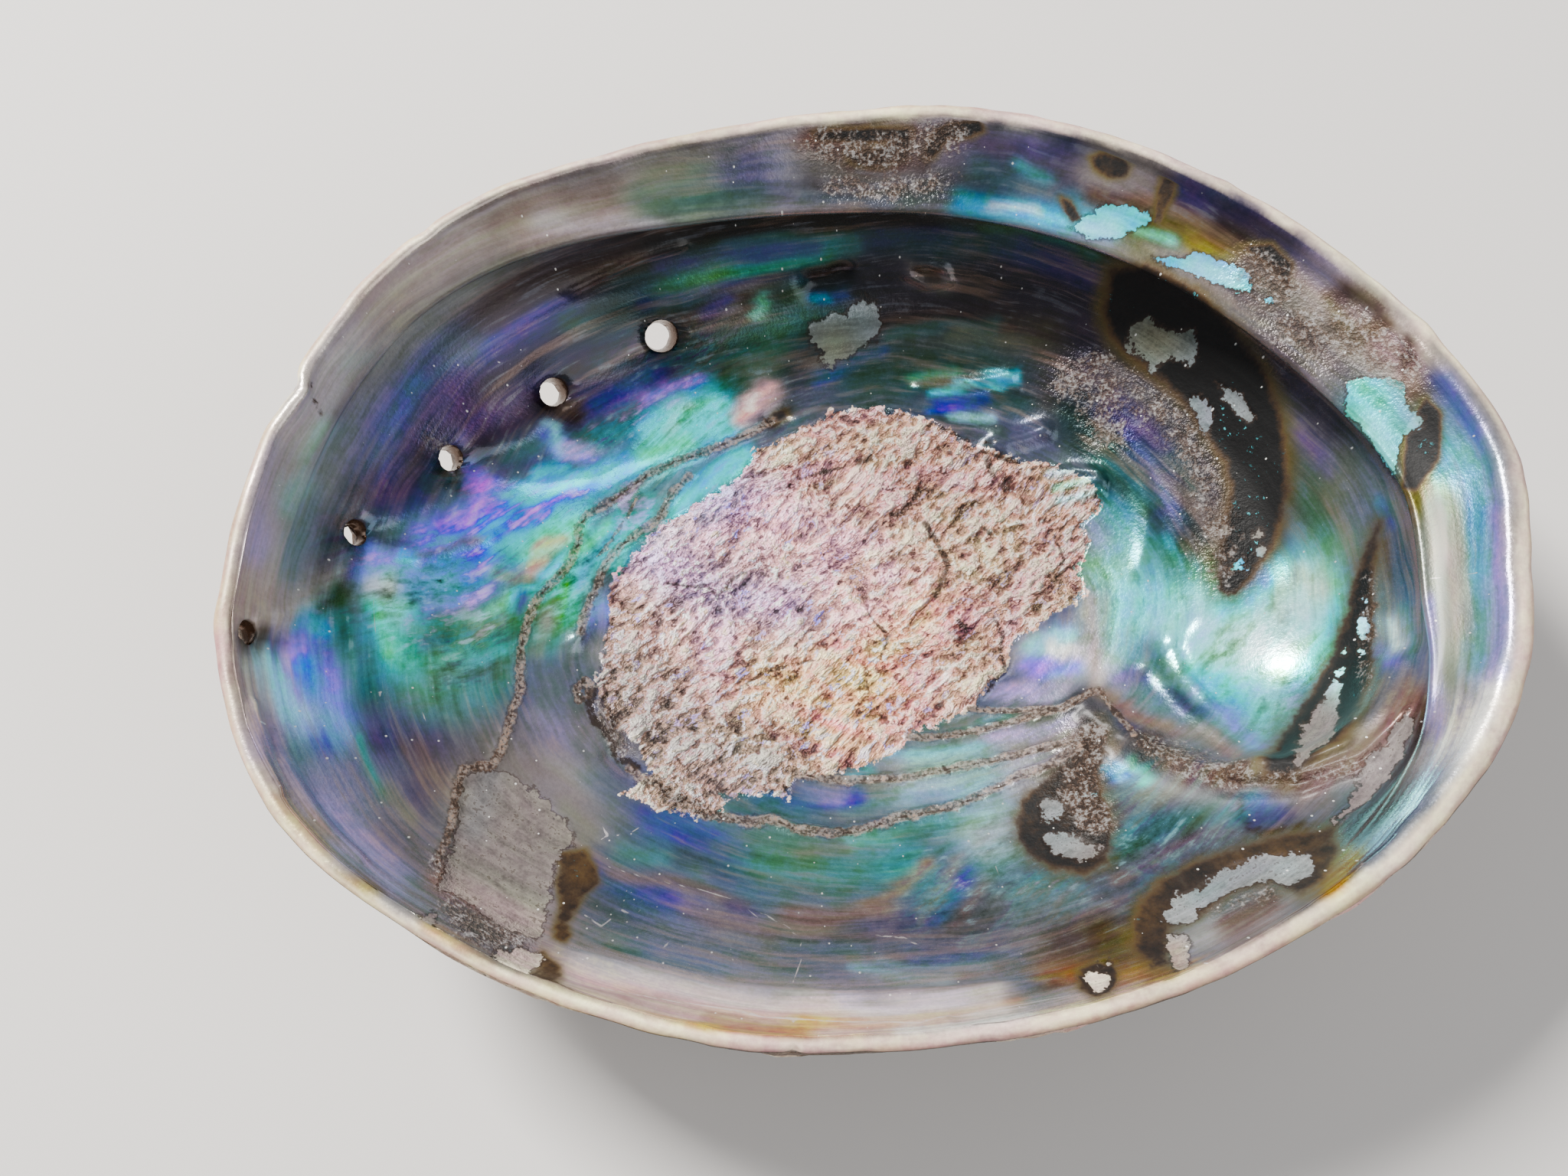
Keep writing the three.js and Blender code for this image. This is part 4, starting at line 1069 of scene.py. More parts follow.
# The scar's shades; the white strokes are painted highlights.
SCAR_STROKES = [
    ("pink", 0.7, 100, (860, 690), (960, 650), (1060, 700), (1130, 780)),
    ("lavender", 0.5, 60, (850, 720), (940, 790), (1020, 790)),
    ("pink", 0.6, 50, (980, 850), (900, 840)),
    ("lavender", 0.5, 40, (930, 660), (980, 610)),
    ("peach", 0.7, 80, (1000, 930), (1080, 950), (1150, 890), (1220, 830)),
    ("gold", 0.45, 50, (1010, 900), (1100, 860), (1180, 880)),
    ("clay", 0.4, 40, (1000, 600), (1060, 640)),
    ("tan", 0.9, 110, (1180, 600), (1290, 650), (1380, 680)),
    ("clay", 0.7, 60, (1110, 560), (1010, 590)),
    ("ash", 0.95, 100, (780, 880), (850, 950), (980, 1010), (900, 1040)),
    ("clay", 0.8, 60, (1230, 880), (1330, 790)),
    ("white", 0.4, 26, (860, 700), (900, 680)),
    ("brown", 0.95, 13, (1304, 586), (1352, 582)),
    ("white", 0.95, 9, (1298, 572), (1350, 563)),
    ("brown", 0.9, 26, (1384, 640), (1428, 632)),
    ("sky", 0.95, 7, (1370, 622), (1434, 606)),
    ("mint", 0.95, 6, (1376, 640), (1436, 624)),
    ("sky", 0.95, 6, (1382, 656), (1438, 642)),
]

# Where the scar's painted glints are strongest, as strokes.
GLOW_STROKES = [
    (1.0, 110, (890, 700), (980, 720), (1070, 790), (1120, 880), (1100, 960)),
    (0.9, 90, (870, 800), (960, 860), (1000, 940)),
]

# Cracks with crumbly lips: half width of the dark middle, which is painted shadow, height of the lips in
# mm, and the line.
CRACKS = [
    (2.6, 0.5, [
        (826, 1000), (838, 1018), (858, 1022), (872, 1042),
        (905, 1050), (922, 1066), (952, 1070), (990, 1074),
    ]),
    (2.2, 0.45, [
        (1010, 548), (988, 562), (950, 578), (916, 592), (880, 604),
        (844, 621), (820, 640), (796, 656), (768, 672),
        (754, 690), (758, 706), (742, 738), (720, 762), (700, 784),
        (688, 815), (680, 850), (678, 905), (665, 940),
        (655, 980), (640, 1000), (605, 1003), (597, 1030), (590, 1070), (582, 1100), (570, 1125),
    ]),
    (2.2, 0.4, [
        (900, 622), (878, 646), (862, 676), (834, 696), (812, 712),
        (790, 738), (775, 775), (764, 800), (755, 830),
    ]),
    (0.9, 0.1, [(832, 652), (818, 676), (800, 704), (780, 728)]),
    (2.4, 0.7, [
        (975, 1075), (1010, 1070), (1040, 1084), (1090, 1090), (1130, 1083), (1180, 1067), (1237, 1058),
        (1295, 1033), (1333, 1014), (1371, 1002), (1410, 975),
    ]),
    (2.0, 0.6, [
        (1040, 1012), (1100, 1020), (1180, 1018), (1237, 1006), (1295, 995), (1348, 983), (1395, 970),
    ]),
    (1.8, 0.5, [(1188, 964), (1240, 962), (1290, 952), (1333, 941), (1390, 925), (1425, 905)]),
    (1.5, 0.3, [(1264, 926), (1320, 930), (1380, 925)]),
    (2.0, 0.4, [(764, 888), (752, 900), (756, 914), (768, 908), (772, 893), (764, 888)]),
    (1.2, 0.1, [(400, 500), (408, 520), (420, 540)]),
    (1.8, 0.3, [(1290, 600), (1296, 620)]),
    (1.4, 0.3, [(1436, 903), (1460, 935), (1482, 960)]),
]

# Dark irregular furrows and pits: half width and line.
FURROWS = [
    (2.6, [(871, 762), (910, 768), (922, 765), (936, 778), (946, 770), (958, 756), (974, 746)]),
    (3.6, [(1208, 684), (1222, 704), (1230, 724), (1238, 740), (1228, 764), (1220, 780)]),
    (4.0, [(1164, 672), (1178, 668), (1190, 656), (1200, 640)]),
    (4.0, [(1122, 604), (1136, 600), (1138, 588)]),
    (5.0, [(1308, 634), (1316, 636)]),
    (3.0, [(1298, 808), (1310, 830), (1306, 850), (1312, 872), (1290, 902)]),
    (3.4, [(1250, 812), (1258, 820)]),
    (3.0, [(1286, 690), (1296, 700)]),
    (2.4, [(1262, 584), (1300, 596), (1330, 606)]),
    (2.0, [(1230, 560), (1262, 575), (1300, 580)]),
    (2.2, [(1378, 700), (1390, 730), (1376, 760)]),
    (2.2, [(790, 900), (802, 950), (798, 968)]),
    (2.0, [(960, 905), (1000, 880), (1060, 862)]),
    (2.0, [(1010, 640), (1060, 620), (1100, 610)]),
    (2.0, [(1130, 800), (1160, 830), (1150, 860)]),
    (4.0, [(778, 898), (770, 920), (776, 940), (796, 960), (806, 985), (836, 998)]),
    (2.4, [(1230, 1000), (1240, 1012)]),
]

# Thin pale veins and scratches: half width and line.
VEINS = [
    (0.9, [(790, 1130), (850, 1148), (920, 1163), (970, 1180), (990, 1200)]),
    (1.1, [(990, 1190), (1030, 1212), (1046, 1228), (1046, 1258), (1036, 1280)]),
    (0.7, [(1036, 1280), (1037, 1372)]),
    (1.2, [(784, 1062), (791, 1090), (778, 1108)]),
    (1.2, [(791, 1092), (815, 1090), (845, 1078)]),
    (0.9, [(780, 1290), (900, 1312), (1000, 1330), (1100, 1335), (1200, 1337), (1300, 1318), (1400, 1300)]),
    (1.0, [(782, 1172), (778, 1190)]),
    (1.0, [(820, 1155), (812, 1190)]),
    (1.2, [(838, 1175), (834, 1196)]),
    (1.2, [(820, 1192), (818, 1212)]),
    (1.2, [(764, 1195), (785, 1210), (798, 1200)]),
    (1.4, [(865, 1238), (880, 1228)]),
    (1.2, [(1140, 1222), (1180, 1225), (1200, 1235)]),
    (0.9, [(548, 915), (560, 960), (575, 985)]),
    (0.9, [(500, 905), (480, 900), (500, 920), (515, 900)]),
    (0.9, [(488, 780), (490, 837), (507, 876)]),
    (1.2, [(1859, 758), (1890, 752), (1932, 748)]),
    (1.0, [(640, 470), (660, 475), (690, 480)]),
    (0.9, [(1425, 1195), (1440, 1180), (1436, 1160)]),
    (0.9, [(1300, 1180), (1306, 1150), (1300, 1130)]),
]

# Low folds, ridges (above 0) and furrows (below): height in mm, half width, and the line.
FOLDS = [
    (0.5, 12, [(340, 812), (400, 798), (430, 775), (450, 740), (455, 725)]),
    (0.5, 12, [(480, 680), (530, 665), (570, 650), (590, 640)]),
    (0.5, 12, [(500, 712), (545, 725), (590, 712), (640, 700)]),
    (0.4, 12, [(640, 615), (700, 630), (780, 622), (840, 600), (900, 580)]),
    (0.4, 12, [(760, 520), (810, 545), (825, 575), (800, 610)]),
    (0.35, 10, [(620, 590), (680, 570), (720, 545), (740, 500)]),
    (0.6, 8, [(1532, 838), (1545, 870), (1583, 915), (1622, 946), (1662, 972)]),
    (-0.7, 5, [(1540, 845), (1555, 878), (1592, 920), (1631, 951), (1670, 976)]),
    (0.5, 9, [(1500, 870), (1545, 925), (1600, 965), (1650, 995)]),
    (-0.25, 8, [(1557, 811), (1540, 832), (1526, 853), (1500, 880)]),
    (0.35, 12, [(1450, 580), (1490, 620), (1500, 680), (1490, 740)]),
    (0.3, 10, [(1490, 560), (1535, 620), (1545, 690)]),
    (0.8, 9, [(1199, 508), (1260, 502), (1320, 492)]),
    (0.6, 7, [(1215, 523), (1270, 520), (1330, 508)]),
    (0.5, 8, [(1222, 548), (1250, 562), (1306, 560)]),
    (0.6, 8, [(1230, 605), (1287, 592)]),
    (1.4, 14, [(1302, 582), (1335, 574), (1364, 564)]),
    (1.0, 8, [(1360, 622), (1400, 615), (1436, 618)]),
    (0.9, 6, [(1372, 636), (1410, 632), (1442, 630)]),
    (0.9, 6, [(1376, 652), (1410, 648), (1440, 644)]),
    (0.5, 8, [(330, 920), (345, 990), (360, 1030)]),
    (0.4, 8, [(370, 1000), (400, 1050), (430, 1090), (470, 1120)]),
    (0.5, 7, [(1610, 1012), (1700, 1012), (1780, 985), (1835, 930)]),
    (0.5, 7, [(1600, 1034), (1700, 1036), (1780, 1005), (1800, 990)]),
    (0.4, 6, [(1620, 996), (1700, 996), (1760, 970)]),
    (0.35, 7, [(745, 1247), (850, 1268), (945, 1290), (1100, 1299), (1250, 1292), (1380, 1282)]),
    (0.35, 7, [(700, 1285), (800, 1303), (950, 1325), (1100, 1335), (1240, 1330)]),
    (-1.1, 16, [(1062, 370), (1082, 367), (1100, 360)]),
    (0.5, 6, [(1186, 346), (1210, 342), (1235, 350), (1240, 366), (1210, 372), (1186, 360), (1186, 346)]),
    (0.9, 13, [(752, 835), (766, 818)]),
    (-0.8, 9, [(1010, 548), (1026, 541)]),
    (-1.0, 13, [(800, 985), (822, 1000), (838, 996)]),
    (-0.6, 7, [(1312, 636), (1318, 638)]),
    (0.5, 6, [(745, 380), (830, 338), (890, 320)]),
    (-0.6, 20, [(730, 538), (755, 536)]),
    (-0.6, 20, [(600, 620), (622, 606)]),
    (-0.5, 16, [(480, 695), (520, 700)]),
    (-0.6, 16, [(340, 840), (368, 850)]),
]

# The pale band along the rim: direction from the pole in degrees, and the width in mm.
RIM_BAND = [
    (-180, 0.9), (-150, 0.9), (-120, 1.6), (-90, 1.8), (-60, 2.0), (-40, 2.6), (-25, 2.4), (0, 1.6),
    (25, 2.0), (50, 1.8), (75, 2.0), (100, 1.8), (125, 1.3), (150, 1.0), (180, 0.9),
]


def smooth(low, high, v):
    t = np.clip((v - low) / (high - low), 0, 1)
    return t * t * (3 - 2 * t)


def mix(a, b, t):
    return a + (b - a) * t


def bell(distance, spread):
    return np.exp(-((distance / spread) ** 2))


def lattice(ix, iy, iz, seed):
    """A repeatable value from 0 to 1 for each point of a lattice, from a sine with large steps."""
    h = np.sin(ix * 127.1 + iy * 311.7 + iz * 74.7 + seed * 19.3) * 43758.5453
    return h - np.floor(h)


def noise(points, size, seed=0, octaves=1):
    """Smooth noise from -1 to 1, with lumps of the given size in millimetres."""
    total = np.zeros(len(points))
    weight = 1.0
    whole = 0.0
    for octave in range(octaves):
        p = points / size * 2**octave + OCTAVE_SHIFT * (octave + 1)
        i = np.floor(p)
        f = p - i
        f = f * f * (3 - 2 * f)
        value = np.zeros(len(points))
        for corner in range(8):
            step = [corner & 1, corner >> 1 & 1, corner >> 2]
            share = np.prod([f[:, k] if step[k] else 1 - f[:, k] for k in range(3)], axis=0)
            value += share * lattice(i[:, 0] + step[0], i[:, 1] + step[1], i[:, 2] + step[2], seed + octave)
        total += weight * (2 * value - 1)
        whole += weight
        weight *= 0.5
    return total / whole


def scales(x, y, seed):
    """The nearest of scattered places, one to each unit square: distance, and the step to it."""
    best = np.full(len(x), np.inf)
    dx = np.zeros(len(x))
    dy = np.zeros(len(x))
    for i in (-1, 0, 1):
        for j in (-1, 0, 1):
            cx = np.floor(x) + i
            cy = np.floor(y) + j
            px = cx + mix(SCALE_MARGIN, 1 - SCALE_MARGIN, lattice(cx, cy, 0, seed))
            py = cy + mix(SCALE_MARGIN, 1 - SCALE_MARGIN, lattice(cx, cy, 5, seed))
            d = np.hypot(x - px, y - py)
            near = d < best
            best = np.where(near, d, best)
            dx = np.where(near, x - px, dx)
            dy = np.where(near, y - py, dy)
    return best, dx, dy


def nearest(x, y, line):
    """Distance to a line of points, how far along it the nearest place is, and on which side."""
    best = np.full(np.shape(x), np.inf)
    at = np.zeros(np.shape(x))
    side = np.ones(np.shape(x))
    for i in range(max(1, len(line) - 1)):
        ax, ay = line[i][:2]
        bx, by = line[min(i + 1, len(line) - 1)][:2]
        length2 = max((bx - ax) ** 2 + (by - ay) ** 2, 1e-9)
        t = np.clip(((x - ax) * (bx - ax) + (y - ay) * (by - ay)) / length2, 0, 1)
        d = np.hypot(x - mix(ax, bx, t), y - mix(ay, by, t))
        closer = d < best
        best = np.where(closer, d, best)
        at = np.where(closer, i + t, at)
        side = np.where(closer, np.sign((bx - ax) * (y - ay) - (by - ay) * (x - ax)), side)
    return best, at, side


def curve_through(table, steps, closed):
    """A smooth curve through the rows of a table, with a number of steps between two rows."""
    table = np.array(table)
    rows = np.arange(len(table) - (not closed))
    t = (np.arange(steps) / steps)[None, :, None]
    limit = (lambda i: i % len(table)) if closed else (lambda i: np.clip(i, 0, len(table) - 1))
    p0, p1, p2, p3 = (table[limit(rows + k)][:, None, :] for k in (-1, 0, 1, 2))
    bend = (2 * p0 - 5 * p1 + 4 * p2 - p3) * t**2
    twist = (3 * p1 - p0 - 3 * p2 + p3) * t**3
    line = (0.5 * (2 * p1 + (p2 - p0) * t + bend + twist)).reshape(-1, table.shape[1])
    return line if closed else np.concatenate([line, table[-1:]])


def rim_samples():
    line = curve_through(RIM, RIM_STEPS, True)
    x = line[:, 0] - POLE[0]
    y = line[:, 1] - POLE[1]
    angle = np.arctan2(y, x)
    order = np.argsort(angle)
    columns = [np.hypot(x, y), line[:, 2], line[:, 3], np.clip(line[:, 4], 0, 1), line[:, 5]]
    return angle[order], [column[order] for column in columns]


RIM_ANGLES, RIM_COLUMNS = rim_samples()
FOLD_LINE = curve_through(FOLD, FOLD_STEPS, False)


class Spokes:
    """The rim's numbers in a set of directions from the pole, and the shell's outline in each."""

    def __init__(self, angles):
        self.angle = angles
        values = [np.interp(angles, RIM_ANGLES, column, period=TURN) for column in RIM_COLUMNS]
        self.reach, self.height, self.ledge, self.overhang, self.wall = values
        self.lip = RIM_THICKNESS + SPIRE_END_EXTRA * smooth(0.2, 1, np.cos(angles))
        self.edge = (self.reach - self.ledge, self.height - LEDGE_DROP)
        self.top_lean = self.lean_at(self.edge[1] - HOLLOW_HEIGHT)

    def place(self, r, z):
        x = POLE[0] + r * np.cos(self.angle)
        y = POLE[1] + r * np.sin(self.angle)
        return np.stack([x, y, z * np.ones_like(x)], axis=1)

    def back_curve(self, lean):
        share = np.sin(lean)
        worn = np.maximum(0, share - WORN_SHARE) / (1 - WORN_SHARE)
        return self.reach * share, self.height * (1 - np.maximum(1 - worn**2, 0) ** self.wall)

    def slope(self, lean):
        r0, z0 = self.back_curve(np.maximum(0, lean - 1e-3))
        r1, z1 = self.back_curve(np.minimum(TURN / 4 - 1e-6, lean + 1e-3))
        length = np.hypot(r1 - r0, z1 - z0)
        return (r1 - r0) / length, (z1 - z0) / length

    def wall_point(self, lean, hollow_side):
        r, z = self.back_curve(lean)
        sr, sz = self.slope(lean)
        share = r / self.reach
        x = POLE[0] + r * np.cos(self.angle)
        y = POLE[1] + r * np.sin(self.angle)
        out = wall_bulge(x, y, hollow_side) * smooth(WORN_SHARE, 0.4, share)
        out *= mix(1, BULGE_AT_RIM, smooth(0.9, 1, share))
        if not hollow_side:
            out += back_relief(x, y, share)
            return r + out * sz, z - out * sr
        out -= mix(MIDDLE_THICKNESS, self.lip, share**1.5)
        r = r + out * sz
        z = z - out * sr
        x = POLE[0] + r * np.cos(self.angle)
        y = POLE[1] + r * np.sin(self.angle)
        inner = hollow_relief(x, y)
        return r - inner * sz, z + inner * sr

    def lean_at(self, height):
        low = np.full(len(self.angle), 0.3)
        high = np.full(len(self.angle), FULL_LEAN)
        for _ in range(30):
            middle = (low + high) / 2
            below = self.wall_point(middle, True)[1] < height
            low = np.where(below, middle, low)
            high = np.where(below, high, middle)
        return low

    def ledge_point(self, kind, t):
        """A place on the hollow under the ledge, on its rounded edge, or on the ledge."""
        edge_r, edge_z = self.edge
        under = (edge_r + EDGE_ROUND, edge_z - EDGE_THICKNESS)
        if kind == "under":
            r0, z0 = self.wall_point(self.top_lean, True)
            sr, sz = self.slope(self.top_lean)
            steps = [(r0, z0), (r0 + sr * HOLLOW_REACH, z0 + sz * HOLLOW_REACH)]
            steps += [(under[0] + EDGE_RUN, under[1] - EDGE_SAG), under]
            parts = [(1 - t) ** 3, 3 * t * (1 - t) ** 2, 3 * t**2 * (1 - t), t**3]
            return tuple(sum(part * step[k] for part, step in zip(parts, steps)) for k in (0, 1))
        if kind == "edge":
            turn = np.pi * t
            half = EDGE_THICKNESS / 2
            return under[0] - EDGE_ROUND * np.sin(turn), edge_z - half - half * np.cos(turn)
        crest_r, crest_z = self.wall_point(FULL_LEAN, True)
        return mix(under[0], crest_r, t), mix(edge_z, crest_z, t**LEDGE_CURVE)


def seam_groove(x, y):
    radius = np.hypot(x - SPIRE[0], y - SPIRE[1])
    turns = np.log(np.maximum(radius, 0.5) / SEAM_FIRST) / np.log(SEAM_GROWTH)
    phase = turns - np.arctan2(y - SPIRE[1], x - SPIRE[0]) / TURN
    off = phase - np.round(phase)
    return SEAM_DEPTH * bell(off, SEAM_WIDTH) * (1 - smooth(*SEAM_FADE, radius))


def wall_bulge(x, y, hollow_side):
    row = CLOSED_PORES[::-1] + PORES
    bulge = SPIRE_BULGE * bell(np.hypot(x - SPIRE[0], y - SPIRE[1]), SPIRE_SPREAD)
    bulge += PORE_RIDGE * bell(nearest(x, y, row)[0], PORE_RIDGE_SPREAD)
    chimney = PORE_PIT if hollow_side else PORE_CHIMNEY
    for pore in PORES if hollow_side else row:
        bulge += chimney * bell(np.hypot(x - pore[0], y - pore[1]), PORE_CHIMNEY_SPREAD)
    return bulge


def back_relief(x, y, share):
    swell = np.sin(TURN * RIDGE_WAVES * share**RIDGE_CROWDING + RIDGE_SWAY * np.sin(x / 19 + y / 27))
    strength = smooth(0.25, 0.5, share) * (1 - smooth(0.97, 1, share))
    return RIDGE_HEIGHT * swell * strength - seam_groove(x, y)


def scar_frame(x, y):
    along = (x - SCAR[0]) * np.cos(SCAR_TILT) + (y - SCAR[1]) * np.sin(SCAR_TILT)
    across = (y - SCAR[1]) * np.cos(SCAR_TILT) - (x - SCAR[0]) * np.sin(SCAR_TILT)
    return along, across


def hollow_relief(x, y):
    along, across = scar_frame(x, y)
    in_scar = 1 - smooth(*SCAR_EDGE, np.hypot(along / SCAR_LONG, across / SCAR_WIDE))
    distance, at, _ = nearest(x, y, FOLD_LINE)
    height = np.interp(at, np.arange(len(FOLD_LINE)), FOLD_LINE[:, 2])
    return SCAR_RISE * in_scar + height * bell(distance, FOLD_WIDTH)


def around_for(share, table):
    return next(count for limit, count in table if share < limit)


def build_rings():
    """Rings of places from the hollow's pole over the rim to the back's pole, with where each lies."""
    spokes = {}
    for _, count in HOLLOW_AROUND + BACK_AROUND:
        spokes.setdefault(count, Spokes(np.arange(count) * TURN / count))
    rings = []

    def add(count, r, z, zone, across):
        s = spokes[count]
        rings.append((s.place(r, z), s.angle, zone, across * np.ones(count)))

    most = HOLLOW_AROUND[-1][1]
    for i in range(WALL_ROWS + 1):
        t = i / WALL_ROWS
        count = around_for(np.sin(t * WALL_LEAN), HOLLOW_AROUND)
        s = spokes[count]
        lean = s.top_lean * t
        r, z = s.wall_point(lean, True)
        add(count, r, z, "bowl", lean * WALL_PER_LEAN)
    s = spokes[most]
    rows = [("under", i / UNDER_ROWS) for i in range(1, UNDER_ROWS + 1)]
    rows += [("edge", i / EDGE_ROWS) for i in range(1, EDGE_ROWS + 1)]
    rows += [("ledge", i / LEDGE_ROWS) for i in range(1, LEDGE_ROWS + 1)]
    for i, (kind, t) in enumerate(rows):
        lean = mix(s.top_lean, FULL_LEAN, (i + 1) / len(rows))
        plain = s.wall_point(lean, True)
        shaped = s.ledge_point(kind, t)
        r, z = (mix(a, b, s.overhang) for a, b in zip(plain, shaped))
        add(most, r, z, kind, lean * WALL_PER_LEAN)
    inside = s.wall_point(FULL_LEAN, True)
    outside = s.wall_point(FULL_LEAN, False)
    sr, sz = s.slope(FULL_LEAN)
    for i in range(1, CREST_ROWS):
        turn = np.pi * i / CREST_ROWS
        share = (1 - np.cos(turn)) / 2
        lift = CREST_LIFT * s.lip * np.sin(turn)
        r = mix(inside[0], outside[0], share) + sr * lift
        z = mix(inside[1], outside[1], share) + sz * lift
        add(most, r, z, "crest", share)
    for i in range(BACK_ROWS, -1, -1):
        lean = FULL_LEAN * (i / BACK_ROWS) ** BACK_CROWDING
        count = around_for(np.sin(lean), BACK_AROUND)
        r, z = spokes[count].wall_point(np.full(count, lean), False)
        add(count, r, np.maximum(z, 0), "back", lean * WALL_PER_LEAN)
    return rings


def stitch(first, second):
    """Triangles between two closed rings of vertex numbers with evenly spaced angles."""
    n, m = len(first), len(second)
    if n == m:
        a, b = first, second
        a1, b1 = np.roll(a, -1), np.roll(b, -1)
        return np.concatenate([np.stack([a, b, b1], 1), np.stack([a, b1, a1], 1)])
    faces = []
    i = j = 0
    while i < n or j < m:
        if j >= m or (i < n and (i + 0.5) / n < (j + 0.5) / m):
            faces.append((first[i % n], second[j % m], first[(i + 1) % n]))
            i += 1
        else:
            faces.append((first[i % n], second[j % m], second[(j + 1) % m]))
            j += 1
    return np.array(faces)


def join_rings(rings):
    """All rings as one closed surface: points, faces, angle, zone and way across of each point."""
    points = []
    angle = []
    zone = []
    across = []
    numbers = []
    start = 0
    for k, (place, a, name, way) in enumerate(rings):
        if k in (0, len(rings) - 1):
            place, a, way = place.mean(axis=0)[None, :], a[:1], way[:1]
        points.append(place)
        angle.append(a)
        across.append(way)
        zone.append(np.full(len(place), ZONES[name]))
        numbers.append(np.arange(start, start + len(place)))
        start += len(place)
    faces = []
    for a, b in zip(numbers, numbers[1:]):
        if len(a) == 1:
            faces.append(np.stack([np.full(len(b), a[0]), b, np.roll(b, -1)], 1))
        elif len(b) == 1:
            faces.append(np.stack([a, np.full(len(a), b[0]), np.roll(a, -1)], 1))
        else:
            faces.append(stitch(a, b))
    joined = [np.concatenate(part) for part in (points, faces, angle, zone, across)]
    return dict(zip(("points", "faces", "angle", "zone", "across"), joined))


def open_loop(shell, side, centre, axis, radius):
    """Takes out the faces near a line on one side; the loop round the gap becomes a circle."""
    rel = shell["points"] - centre
    depth = rel @ axis
    flat = rel - depth[:, None] * axis
    inside = side & (np.hypot.reduce(flat, axis=1) < radius) & (np.abs(depth) < PORE_HALF_LENGTH)
    gone = inside[shell["faces"]].any(axis=1)
    removed = shell["faces"][gone]
    shell["faces"] = shell["faces"][~gone]
    edges = {(int(f[k]), int(f[(k + 1) % 3])) for f in removed for k in range(3)}
    follow = {a: b for a, b in edges if (b, a) not in edges}
    loop = [next(iter(sorted(follow)))]
    while follow[loop[-1]] != loop[0]:
        loop.append(follow[loop[-1]])
    loop = np.array(loop)
    east = np.cross(axis, [0.0, 0.0, 1.0])
    east /= np.linalg.norm(east)
    north = np.cross(axis, east)
    turn = np.unwrap(np.arctan2(flat[loop] @ north, flat[loop] @ east))
    steps = np.linalg.norm(np.roll(shell["points"][loop], -1, axis=0) - shell["points"][loop], axis=1)
    even = np.concatenate([[0], np.cumsum(steps)[:-1]]) / steps.sum() * TURN * np.sign(turn[-1] - turn[0])
    turn = even + np.mean(turn - even)
    ring = radius * (np.cos(turn)[:, None] * east + np.sin(turn)[:, None] * north)
    shell["points"][loop] = centre + depth[loop][:, None] * axis + ring
    return loop, turn, depth[loop], east, north


def drill(shell, pore):
    """One open pore: a gap on both sides, joined by a wall."""
    x, y, radius = pore
    s = Spokes(np.array([np.arctan2(y - POLE[1], x - POLE[0])]))
    lean = np.arcsin(np.minimum(0.999, np.hypot(x - POLE[0], y - POLE[1]) / s.reach))
    centre = s.place(*s.wall_point(lean, False))[0]
    sr, sz = s.slope(lean)
    axis = np.array([-sz[0] * np.cos(s.angle[0]), -sz[0] * np.sin(s.angle[0]), sr[0]])
    hollow = shell["zone"] < ZONES["crest"]
    back = shell["zone"] == ZONES["back"]
    top, turn, depth, east, north = open_loop(shell, hollow, centre, axis, radius * PORE_TAPER)
    bottom, turn_b, depth_b, _, _ = open_loop(shell, back, centre, axis, radius)
    ring = top
    for share in PORE_WALL:
        r = mix(radius * PORE_TAPER, radius, smooth(0, 1, share))
        r *= 1 - PORE_WAIST * np.sin(np.pi * share)
        middle = mix(depth, depth_b.mean(), share)
        spot = centre + middle[:, None] * axis
        spot += r * (np.cos(turn)[:, None] * east + np.sin(turn)[:, None] * north)
        new = np.arange(len(spot)) + len(shell["points"])
        added = {
            "points": spot,
            "angle": np.full(len(spot), s.angle[0]),
            "zone": np.full(len(spot), ZONES["pore"]),
            "across": np.full(len(spot), shell["across"][top].mean()),
            "faces": stitch(ring, new),
        }
        for name, values in added.items():
            shell[name] = np.concatenate([shell[name], values])
        ring = new
    order = np.argsort(np.mod(turn_b - turn[0], TURN))
    if turn[-1] < turn[0]:
        order = np.argsort(np.mod(turn[0] - turn_b, TURN))
    shell["faces"] = np.concatenate([shell["faces"], stitch(ring, bottom[order])])


def normals_of(points, faces):
    a, b, c = (points[faces[:, k]] for k in range(3))
    n = np.cross(b - a, c - a)
    total = np.zeros_like(points)
    for k in range(3):
        np.add.at(total, faces[:, k], n)
    return total / np.maximum(np.linalg.norm(total, axis=1), 1e-12)[:, None]


def to_mesh(name, shell):
    mesh = bpy.data.meshes.new(name)
    points = shell["points"] * MM
    faces = shell["faces"]
    mesh.vertices.add(len(points))
    mesh.vertices.foreach_set("co", points.ravel())
    mesh.loops.add(3 * len(faces))
    mesh.loops.foreach_set("vertex_index", faces.ravel().astype(np.int32))
    mesh.polygons.add(len(faces))
    mesh.polygons.foreach_set("loop_start", np.arange(0, 3 * len(faces), 3, dtype=np.int32))
    mesh.polygons.foreach_set("loop_total", np.full(len(faces), 3, dtype=np.int32))
    mesh.polygons.foreach_set("use_smooth", np.ones(len(faces), dtype=bool))
    mesh.update(calc_edges=True)
    mesh.validate()
    return mesh


def camera_axes():
    back = np.array([
        np.sin(AZIMUTH) * np.cos(ELEVATION),
        -np.cos(AZIMUTH) * np.cos(ELEVATION),
        np.sin(ELEVATION),
    ])
    right = np.array([np.cos(AZIMUTH), np.sin(AZIMUTH), 0.0])
    return right, np.cross(back, right), back


def picture_place(points):
    """Where points in millimetres lie in the picture."""
    right, up, back = camera_axes()
    rel = points - (LOOK_AT + DISTANCE * back)
    away = -(rel @ back)
    px = PICTURE[0] / 2 + FOCAL_PIXELS * (rel @ right) / away
    return px, PICTURE[1] / 2 - FOCAL_PIXELS * (rel @ up) / away


